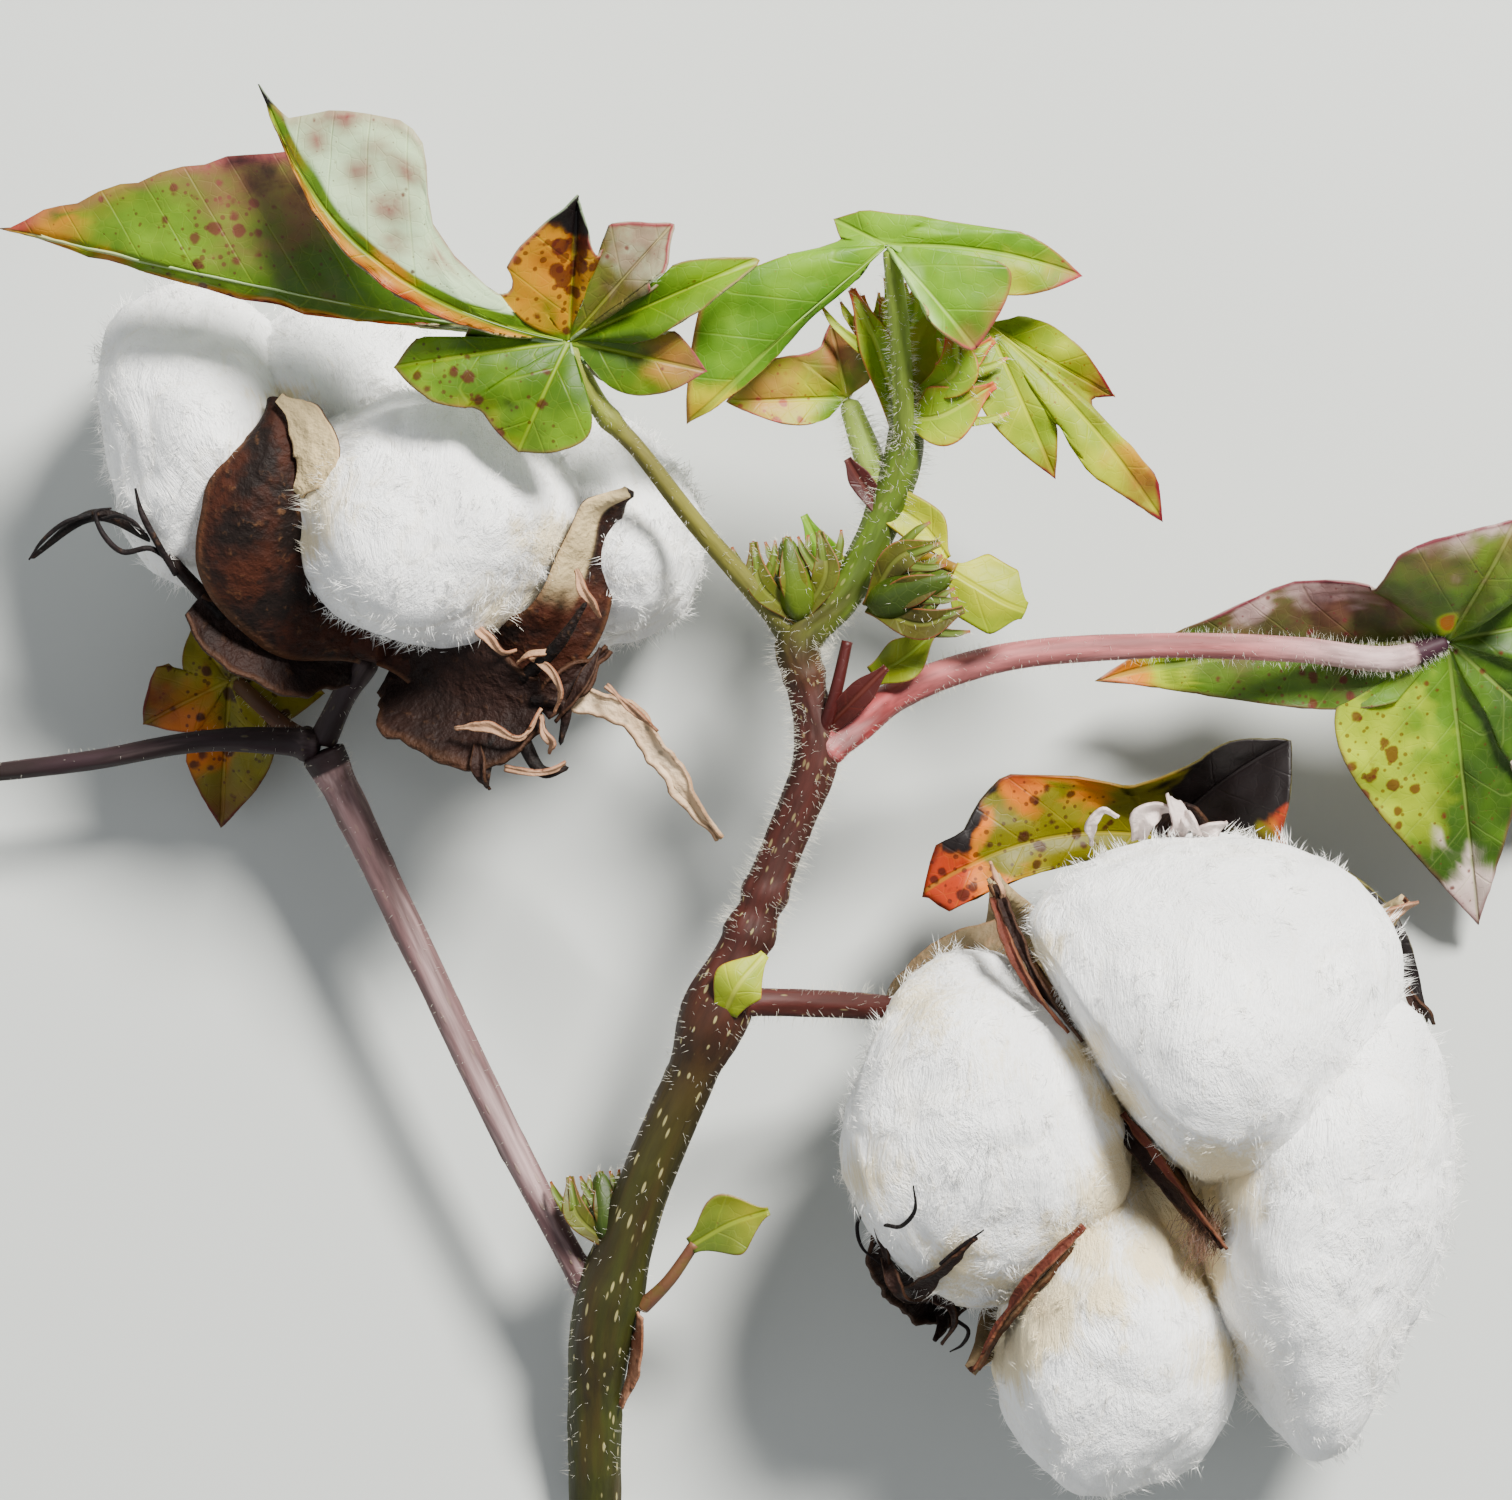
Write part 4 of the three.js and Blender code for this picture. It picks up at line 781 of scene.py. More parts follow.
LOCKS = {
    "left": [
        dict(centre=[-63, 36, 20.3], radii=[13, 18, 20], spin=12, taper=0.05, seed=1),
        dict(centre=[-37.5, 26.5, 34], radii=[15.5, 14.5, 16], spin=-10, seed=2.2),
        dict(centre=[-17, 24.5, 19.5], radii=[11, 13, 19], spin=-12, taper=0.05, seed=3.1),
        dict(centre=[-43, 41, 18.5], radii=[17, 12.5, 18], seed=4.3),
    ],
    "right": [
        dict(centre=[51.6, -30.5, 33], radii=[21.5, 21.5, 24], flat=[-0.83, -0.56, 11], seed=1.6),
        dict(centre=[65.5, -54.5, 30], radii=[13.8, 25.3, 22], spin=173, taper=0.2, seed=2.7),
        dict(centre=[41, -66.2, 27], radii=[13.3, 19.3, 18], spin=177, taper=-0.08, seed=3.9),
        dict(centre=[26, -43.5, 30], radii=[16, 19, 19], seed=5.2),
    ],
}
FILLINGS = {"right_lock_3": dict(centre=[46.5, -53, 23.5], radii=[9, 10, 11.5], seed=6.5)}
LINT_SPOTS = {
    "left": [
        (-53.5, 36, 4, 0.7), (-51, 30, 4, 0.5), (-23, 24, 3.5, 0.6), (-24, 18, 3, 0.5), (-52, 24, 3, 0.5),
        (-30, 15, 4, 0.4),
    ],
    "right": [
        (42.5, -48, 5, 0.6), (47, -52, 5, 0.7), (52.5, -50, 5, 0.65), (46, -58, 5, 0.65), (51, -60, 4, 0.7),
        (38, -57, 4, 0.6), (33, -64, 5, 0.8), (29.5, -69, 4, 0.8), (40, -63, 3.5, 0.6),
        (41.5, -40.5, 3, 0.6), (40.5, -52, 3.5, 0.6), (38, -35, 3, 0.45), (19, -29, 5, 0.4),
        (23, -59, 4, 0.5), (33, -23, 3, 0.45), (27, -36, 4, 0.2), (13, -49, 4, 0.4), (53, -70, 4, 0.45),
    ],
}
FLAT_SHARE = 0.25
WISPS_PER_LOCK, HAIRS_PER_WISP, POINTS_PER_HAIR = 620, 13, 4
FIBRE_LENGTH, FIBRE_WIDTH = 2.3, 0.04


def ball_of(level):
    made = bmesh.new()
    bmesh.ops.create_icosphere(made, subdivisions=level, radius=1)
    points = np.array([v.co[:] for v in made.verts])
    tris = np.array([[v.index for v in face.verts] for face in made.faces])
    made.free()
    return unit(points), tris


BALL, BALL_TRIS = ball_of(6)


def unevenness(p, seed):
    broad = np.sin(2.9 * p[:, 0] + seed) * np.sin(3.3 * p[:, 1] + 1.7 * seed)
    small = np.sin(4.1 * p[:, 2] + 2.3 * seed) * np.sin(3.7 * p[:, 0] + 0.9 * seed)
    return 0.07 * broad + 0.05 * small


def spun(p, degrees):
    """Points turned about the upright axis."""
    c, s = math.cos(math.radians(degrees)), math.sin(math.radians(degrees))
    return np.stack([p[:, 0] * c - p[:, 1] * s, p[:, 0] * s + p[:, 1] * c, p[:, 2]], -1)


def lock_skin(centre, radii, spin=0, taper=0, seed=0, flat=None):
    """The points of a lock, how deep each lies in a crease, and its place for the run of the fibres.
    flat is (x, y, reach): the way to its pressed side, and how far from its centre that lies."""
    narrow = 1 - taper * BALL[:, 1:2]
    swell = (1 + unevenness(BALL, seed))[:, None]
    egg = BALL * swell * np.hstack([narrow, np.ones_like(narrow), narrow]) * np.array(radii)
    comb = egg + drift(egg, 7.0, seed + 21) * 2.2
    broad = noise(egg, 13.0, seed)
    puffs = np.abs(noise(comb, 8.5, seed + 4))
    tufts = noise(comb, 3.2, seed + 8)
    combed = noise(comb * [1, 0.3, 1], 1.1, seed + 11)
    height = 0.8 * broad + 0.8 * np.sqrt(puffs + 0.03) - 0.3 + 0.3 * tufts + 0.14 * combed
    turned = spun(egg + unit(egg) * height[:, None], spin)
    if flat:
        over = np.maximum(turned[:, 0] * flat[0] + turned[:, 1] * flat[1] - flat[2], 0) * (1 - FLAT_SHARE)
        turned[:, :2] -= over[:, None] * np.array(flat[:2])
    return turned + seen(centre), np.exp(-((puffs / 0.05) ** 2)), comb


def depth_in(points, centre, radii, spin=0, flat=None, **_):
    """How deep points are in a lock, from 1 at its skin down to 0 at its middle."""
    p = points - seen(centre)
    depth = np.linalg.norm(spun(p, -spin) / np.array(radii), axis=1)
    if flat:
        depth = np.where(p[:, 0] * flat[0] + p[:, 1] * flat[1] > flat[2] + 1.5, 1.0, depth)
    return depth


def ball_normals(points):
    a, b, c = (points[BALL_TRIS[:, k]] for k in range(3))
    total = np.zeros_like(points)
    for k in range(3):
        np.add.at(total, BALL_TRIS[:, k], np.cross(b - a, c - a))
    return unit(total)


def creamy(points, spots):
    """How much the lint is stained at points: spots are (x, y, radius, strength) on the plan."""
    flat = on_plan(points)
    uneven = 1 + 0.4 * rough(points, 3.0, 5)
    amount = np.zeros(len(points))
    for x, y, radius, strength in spots:
        away = np.hypot(flat[:, 0] - x, flat[:, 1] - y) * uneven / radius
        amount = np.maximum(amount, strength * np.exp(-(away**2)))
    return amount


for hand, locks in LOCKS.items():
    fluff = Shape()
    for i, sizes in enumerate(locks):
        node = f"{hand}_lock_{i + 1}"
        points, crease, comb = lock_skin(**sizes)
        normals = ball_normals(points)
        hidden = points[:, 2] < 1.5
        for other in locks[:i] + locks[i + 1 :]:
            hidden |= depth_in(points, **other) < 0.9
        weights = np.where(hidden, 0, 1.0)
        lock = Shape()
        stain = creamy(points, LINT_SPOTS[hand])
        # The crease mask kept here drives the painted shade in the lint's creases.
        lock.add(points, tris=BALL_TRIS, hollow=crease, stain=stain, comb=comb)
        if node in FILLINGS:
            filling, crease, comb = lock_skin(**FILLINGS[node])
            lock.add(filling, tris=BALL_TRIS, hollow=crease, stain=0.55, comb=comb)
            points, normals = np.vstack([points, filling]), np.vstack([normals, ball_normals(filling)])
            weights = np.append(weights, np.full(len(filling), 0.6))
        make(lock, f"{hand}_lint_{i + 1}", LINT, "lint", node)
        roots, out = scatter(points, normals, weights, WISPS_PER_LOCK)
        swirl = drift(roots, 3.4, sizes["seed"] + 31)
        lean = unit(out * 0.7 + swirl * 1.2 + rng.normal(size=out.shape) * 0.25)
        length = np.repeat(FIBRE_LENGTH * rng.uniform(0.5, 1.1, len(roots)), HAIRS_PER_WISP)
        lean = np.repeat(lean, HAIRS_PER_WISP, axis=0)
        roots = np.repeat(roots - out * 0.3, HAIRS_PER_WISP, axis=0)
        spread = rng.normal(size=roots.shape)
        lean = lean + rng.normal(size=lean.shape) * 0.22 - spread * 0.06
        stain = np.repeat(creamy(roots, LINT_SPOTS[hand]), POINTS_PER_HAIR)
        add_hairs(fluff, roots + spread * 0.45, lean, length, FIBRE_WIDTH, 0, spans=1, stain=stain)
    make(fluff, hand + "_loose_fibres", FLUFF, "lint")


# Burrs, bracts and their teeth. An egg is its base, its tip and its radius. A blade is its spine, its
# widths, its roll in degrees and how far its edges are raised. A bract is a blade and its teeth.

BURRS = {
    "left": {
        "foot": ([-45.5, 11, 22.5], [-43, 17, 25], 5.5),
        "valves": [
            ([[-44, 12.5, 25], [-52, 16.5, 34], [-57, 22, 40], [-58, 28, 42], [-55.5, 35.5, 42],
                [-55.5, 40.5, 40]], [6, 13, 14, 11, 6, 0.8], 0, -0.3),
            ([[-42.5, 12.5, 25], [-31.5, 9.5, 31], [-23, 13.5, 36], [-19.5, 22, 38], [-18, 27.5, 40],
                [-14.5, 29.5, 42]], [6, 11, 9, 8, 6, 0.8], [0, 55], 0.2),
            ([[-45, 13, 20], [-51, 22, 7], [-54, 32, 2.6], [-54.5, 40, 4]], [5, 11, 10, 1], 0, 0.2),
            ([[-43, 13, 20], [-34.5, 22, 7], [-29.5, 31, 2.6], [-28.5, 39, 4]], [5, 11, 10, 1], 0, 0.2),
        ],
        "septa": [
            ([[-54.8, 40.5, 42], [-51.8, 37.5, 43], [-50.6, 33.5, 43], [-52.6, 29.5, 41]],
                [0.8, 4.6, 5.6, 2], 20),
        ],
    },
    "right": {
        "foot": ([42, -41.5, 5.5], [45.5, -45, 17], 5),
        "valves": [
            ([[43, -42.5, 6], [37.5, -33.5, 1.6], [31.5, -24, 8], [27.5, -15, 27]], [8, 16, 12, 0.8], 0,
                0.3),
            ([[43.5, -42, 6], [53.5, -33.5, 1.6], [64.5, -25.5, 8], [74.5, -17.5, 27]], [8, 17, 12, 0.8], 0,
                0.3),
            ([[43, -43.5, 6], [38.5, -52, 1.6], [31.5, -61.5, 9], [25, -71, 30]], [8, 16, 12, 0.8], 0, 0.3),
            ([[44.5, -43.5, 6], [51.5, -53, 1.6], [59, -62, 7], [65.5, -70, 18]], [8, 17, 12, 0.8], 0, 0.3),
        ],
        "septa": [
            ([[43, -42.5, 14], [36.5, -32, 33], [31.5, -24, 35], [27, -15.5, 31]], [10, 9, 7, 1], 90),
            ([[40.5, -39, 16], [43.5, -43.5, 31], [48, -50, 38.5], [53.6, -56.9, 40.5]], [6, 6, 3.4, 1.4],
                [90, 70, 40, 20]),
            ([[42.5, -44.5, 14], [37, -56, 37], [31, -63, 36], [25.5, -71, 31]], [10, 8, 7, 1], 90),
        ],
        "rims": [
            ([[29, -21.5, 25], [22.5, -23, 24], [17, -27, 22], [15, -30, 19]], [5, 4, 3, 1.2], 35),
        ],
    },
}
BRACTS = {
    "left_bract_inner": (
        ([[-46.5, 9.5, 23], [-53.5, 11, 29], [-61, 14, 32], [-64.5, 17, 33]], [5, 9, 8, 2.4], 0, 0.3),
        [[[-61, 15, 32.5], [-68, 23, 33], [-71, 29.5, 32]],
            [[-69, 24.5, 33], [-76, 27, 32], [-83.5, 22, 30]]],
    ),
    "left_bract_outer": (
        ([[-42, 9, 24], [-37.5, 7, 30], [-30.5, 5, 34], [-24.5, 5, 36]], [5, 14, 16, 7], 0, 0.3),
        [[[-30, 2, 35], [-31, -1.5, 36], [-31, -4.5, 36]],
            [[-27, 1.5, 36], [-24.5, -2.5, 37], [-21.5, -2, 37]],
            [[-26, 6, 36], [-22, 5, 37], [-22.5, 0.5, 37]],
            [[-27, 8, 36], [-22.5, 12.5, 41], [-19.5, 17, 43]]],
    ),
    "left_bract_thorn": (
        ([[-25, 5, 36], [-21, 8, 35.5], [-17, 11.5, 34]], [3, 3, 0.9], 0, 0.3),
        [],
    ),
    "left_bract_strand": (
        ([[-24, 6.5, 34.5], [-14.5, 4, 34], [-9.5, -3, 33], [-4, -10, 31]], [2, 2.6, 2.8, 1.2], [0, 40]),
        [],
    ),
    "right_bract_low": (
        ([[38.5, -47, 4], [29, -54.5, 3.5], [21, -63, 16], [15.5, -59.5, 30], [13.5, -54, 35]],
            [4, 9, 6, 4, 1.5], 0, 0.3),
        [[[16.5, -59.5, 29], [18, -55, 35], [17.5, -51, 37]],
            [[18.5, -61.5, 24], [21.5, -59, 32], [25, -56, 36]],
            [[20.5, -62.5, 18], [21.5, -66, 22], [20.5, -68, 25]]],
    ),
    "right_bract_top": (
        ([[45, -38, 4], [50, -24, 3.5], [49, -14, 12], [48, -6, 26]], [4, 10, 8, 6], 0, 0.3),
        [],
    ),
}
# A curl is its tone, its width and its points.
CURLS = {
    "right_burr": [
        ("dark", 2.4, [[41.4, -42.6, 38.5], [44.5, -46, 40.5], [48.5, -51, 41], [53.8, -57.2, 42]]),
        ("ruddy", 0.9, [[42.2, -41.8, 40], [45.6, -46, 42], [49.8, -51.5, 42.5], [54.2, -57.4, 42.6]]),
        ("dark", 1.3, [[27.6, -15.5, 38], [30.2, -22, 42], [33.4, -28, 44], [37.6, -33.5, 45]]),
        ("ruddy", 1.1, [[27.2, -17, 38.5], [29.2, -22.5, 42], [32, -27.5, 43.5], [36, -32.5, 44.5]]),
    ],
    "left_bract_outer": [
        ("pale", 1.04, [[-32.9, 14.7, 37], [-30.8, 12.9, 38.5], [-29.1, 11.3, 38], [-27.6, 11.5, 37]]),
        ("pale", 1.2, [[-26, 10.9, 38], [-23.5, 9, 40], [-22.4, 6.7, 40], [-23.1, 4.4, 38]]),
        ("pale", 1.12, [[-34.6, 2.5, 36.5], [-30.6, 2.6, 38.5], [-27.1, 1.5, 38.5], [-24.7, 4.8, 38]]),
        ("pale", 0.96, [[-28.8, -2.1, 36.5], [-26, -2.5, 38], [-23.5, -2.3, 38], [-22, -1.4, 37]]),
        ("pale", 0.96, [[-24.7, 3.9, 38], [-24.3, 2, 39.5], [-23.3, 0.9, 39], [-23.7, -0.3, 37.5]]),
        ("pale", 0.88, [[-20.7, 20.7, 42], [-19.9, 18.4, 43], [-18.6, 16.9, 42.5], [-17.9, 15.3, 41]]),
        ("pale", 0.72, [[-17.2, 7.4, 37], [-15.1, 5.4, 38], [-13.1, 3.9, 38], [-11.3, 2.2, 37]]),
        ("pale", 0.8, [[-22.5, 12.7, 38], [-23.9, 11.3, 40], [-26, 10.9, 40], [-27.4, 10, 38.5]]),
        ("dark", 1.2, [[-17.9, 11.7, 36.5], [-19.7, 8.1, 38], [-21.4, 5.2, 38], [-23, 3.2, 37]]),
        ("dark", 1.6, [[-32, 0.6, 36], [-31.7, -1.7, 37], [-31.3, -3.3, 37], [-30.6, -4.5, 36]]),
    ],
    "left_bract_inner": [
        ("black", 0.42, [[-67.4, 21.8, 34], [-69.7, 23.2, 35.5], [-72.9, 22.8, 35], [-75.3, 25.2, 34],
            [-75.9, 27.4, 34], [-74.1, 27.8, 34]]),
        ("black", 0.36, [[-76.4, 27.1, 33], [-79.4, 26.2, 33], [-82.1, 24, 32], [-83.6, 21.9, 31]]),
        ("black", 0.5, [[-66.7, 20.2, 33.5], [-68.9, 23.9, 36], [-70.7, 27.4, 37], [-71.4, 30.1, 37.5]]),
        ("black", 0.3, [[-75.3, 26.5, 34], [-73.4, 26.9, 35.5], [-71.5, 26.2, 36.5], [-69.7, 24.2, 36]]),
    ],
    "right_bract_low": [
        ("dark", 1.9, [[16.9, -62.8, 32], [19.1, -61.6, 37], [22.1, -58.9, 42.5], [25.2, -56.1, 46]]),
        ("dark", 1.6, [[14.7, -58.4, 34], [15.8, -61, 37], [17.1, -63, 36], [19.8, -63.2, 33]]),
        ("dark", 1.7, [[13.3, -51.8, 36], [14.3, -54.6, 37], [15, -57.5, 36], [15.4, -60.4, 34]]),
        ("black", 0.32, [[14.7, -54.6, 40.5], [16.8, -54.7, 45], [18.3, -52.8, 47.5], [18.1, -50.1, 48.5]]),
        ("black", 0.28, [[13.3, -52, 36], [11.7, -54.3, 35], [12.2, -57.2, 34], [14.6, -59.3, 34]]),
        ("black", 0.3, [[21.2, -59.1, 42], [23.7, -57, 45], [26.2, -55.2, 47]]),
        ("dark", 0.9, [[20, -62.9, 30], [22.3, -63.9, 31], [22.9, -65.8, 30], [21.4, -68.3, 27]]),
        ("black", 0.3, [[22.9, -65.5, 30], [24.4, -66.7, 29], [23.7, -68.4, 27], [22.3, -69.2, 26]]),
        ("ruddy", 1.25, [[37.7, -54.7, 44], [32.7, -59.6, 42.5], [28.6, -65.3, 38], [25.1, -71.3, 34]]),
    ],
    "right_bract_top": [
        ("white", 1, [[38.6, -10.9, 33], [38.6, -8.3, 36], [39.9, -6.8, 37], [41.6, -7.6, 36]]),
        ("white", 2.6, [[43.9, -10.1, 30], [44.5, -7.5, 33], [46.5, -6.4, 33], [48.5, -7.1, 32]]),
        ("white", 2.4, [[47.6, -10.9, 30], [48.8, -8.3, 34], [47.8, -6.1, 34], [47.4, -5.4, 33]]),
        ("white", 1.3, [[48.8, -7.1, 33], [50.1, -8.3, 35], [51.1, -9.7, 34]]),
        ("white", 2.4, [[50.6, -10.6, 30], [52.4, -9.1, 33], [54.1, -8.3, 32]]),
        ("pale", 0.96, [[28.1, -17.8, 38], [28.3, -16.1, 40], [27.5, -14.7, 40], [26.9, -12.9, 38]]),
        ("dark", 1.4, [[74.6, -27, 24], [75.8, -29.1, 25], [77.3, -30.1, 25], [78, -31.5, 24]]),
        ("pale", 1.52, [[70.4, -20.1, 29], [72.3, -19, 32], [74.1, -18.1, 32], [76.1, -17.5, 30]]),
    ],
}
CURL_TONES = {
    "pale": (TOOTH, "bract"), "dark": (BRACT, "bract"), "black": (CHARRED, "bract"),
    "ruddy": (RUDDY, "burr"), "white": (BLANCHED, "bract"),
}
TENDRIL = {"edge": 0.0, "inner": 0.0, "layer": 1.0, "lining": 0.0}
VALVE_THICK, SEPTUM_THICK, BRACT_THICK, CURL_THICK = 0.9, 0.7, 0.45, 0.35
TUFT_PLACE, TUFT_HAIRS = [51.5, -55, 40.5], 420


def half_lined(t, q):
    """A lining that shows on one half of a valve, near its tip."""
    return step_up(-0.12, 0.1, q) * step_up(0.45, 0.6, t)


def add_wall(shape, blade, thick, inner, lining, seed, **more):
    add_blade(shape, *blade, thick=thick, cols=25, step=0.6, inner=inner, lining=lining, seed=seed, **more)


# For each valve the layer that is its inner one, and its lining; then the lining of the septa.
FACES = {
    "left": ([(0.0, 0.9), (1.0, half_lined), (1.0, 1.0), (1.0, 1.0)], 1.0),
    "right": ([(1.0, 0.7), (1.0, 0.7), (1.0, 0.3), (1.0, 0.3)], 0.1),
}
for hand, sizes in BURRS.items():
    valve_faces, septum_lining = FACES[hand]
    burr = Shape()
    add_egg(burr, *sizes["foot"], 0.04, layer=0.0, inner=1.0, lining=0.0)
    for i, (valve, (inner, lining)) in enumerate(zip(sizes["valves"], valve_faces)):
        add_wall(burr, valve, VALVE_THICK, inner, lining, i + 3, curl=-0.8, ripple=0.35)
    for i, septum in enumerate(sizes["septa"]):
        add_wall(burr, septum, SEPTUM_THICK, 1.0, septum_lining, i + 13, jag=0.3)
    for i, rim in enumerate(sizes.get("rims", [])):
        add_wall(burr, rim, SEPTUM_THICK, 1.0, 0.2, i + 23, ripple=0.4, jag=0.4)
    make(burr, hand + "_boll_wall", BURR, "burr", hand + "_burr")

tuft = Shape()
roots = seen(TUFT_PLACE) + rng.normal(size=(TUFT_HAIRS, 3)) * [1.2, 1.6, 0.5]
add_hairs(tuft, roots, [-0.35, -1.0, 0.35] + rng.normal(size=roots.shape) * 0.35, 2.8, 0.04, 0.3)
make(tuft, "septum_hairs", RUST_DOWN, "burr")

for i, (name, rows) in enumerate(CURLS.items()):
    curls = {}
    for j, (tone, width, points) in enumerate(rows):
        curl = curls.setdefault(tone, Shape())
        if tone == "black":
            add_limb(curl, points, [width * share for share in (0.75, 0.8, 0.3)], 8, seed=j, **TENDRIL)
        else:
            wide = [width * share for share in (0.6, 1.1, 0.9, 0.3)]
            looks = dict(jag=0.3, seed=i + j, inner=1.0, lining=0.6)
            add_blade(curl, points, wide, [0, 70], 0.5, CURL_THICK, cols=9, step=0.35, **looks)
    for tone, curl in curls.items():
        make(curl, f"{name}_{tone}_curls", *CURL_TONES[tone])

for i, (name, (blade, rows)) in enumerate(BRACTS.items()):
    finish, slot = (STRAW, "straw") if name.endswith("strand") else (BRACT, "bract")
    bract, teeth = Shape(), Shape()
    looks = dict(ripple=0.8, jag=0.7, curl=0.6, seed=i + 31, inner=1.0, lining=0.4)
    add_blade(bract, *blade, thick=BRACT_THICK, cols=25, step=0.5, **looks)
    make(bract, name + "_blade", finish, slot, name)
    for j, points in enumerate(rows):
        relief = bark_relief(0.12, [], j)
        add_limb(teeth, points, [0.85, 0.7, 0.3], 12, relief=relief, blunt=(0.5, 1.5), seed=j, **TENDRIL)
    if rows:
        make(teeth, name + "_teeth", BRACT, slot)


# Leaves.

SINUS = 0.36
LEAF_FOOT = 0.16
LOBE_SHARE = 0.5
WIDEST_ANGLE = 1.3
LEAF_THICK = 0.35
QUILT = 0.25
MARK_KEYS = ("warm", "dead", "rosy", "pale", "spots")
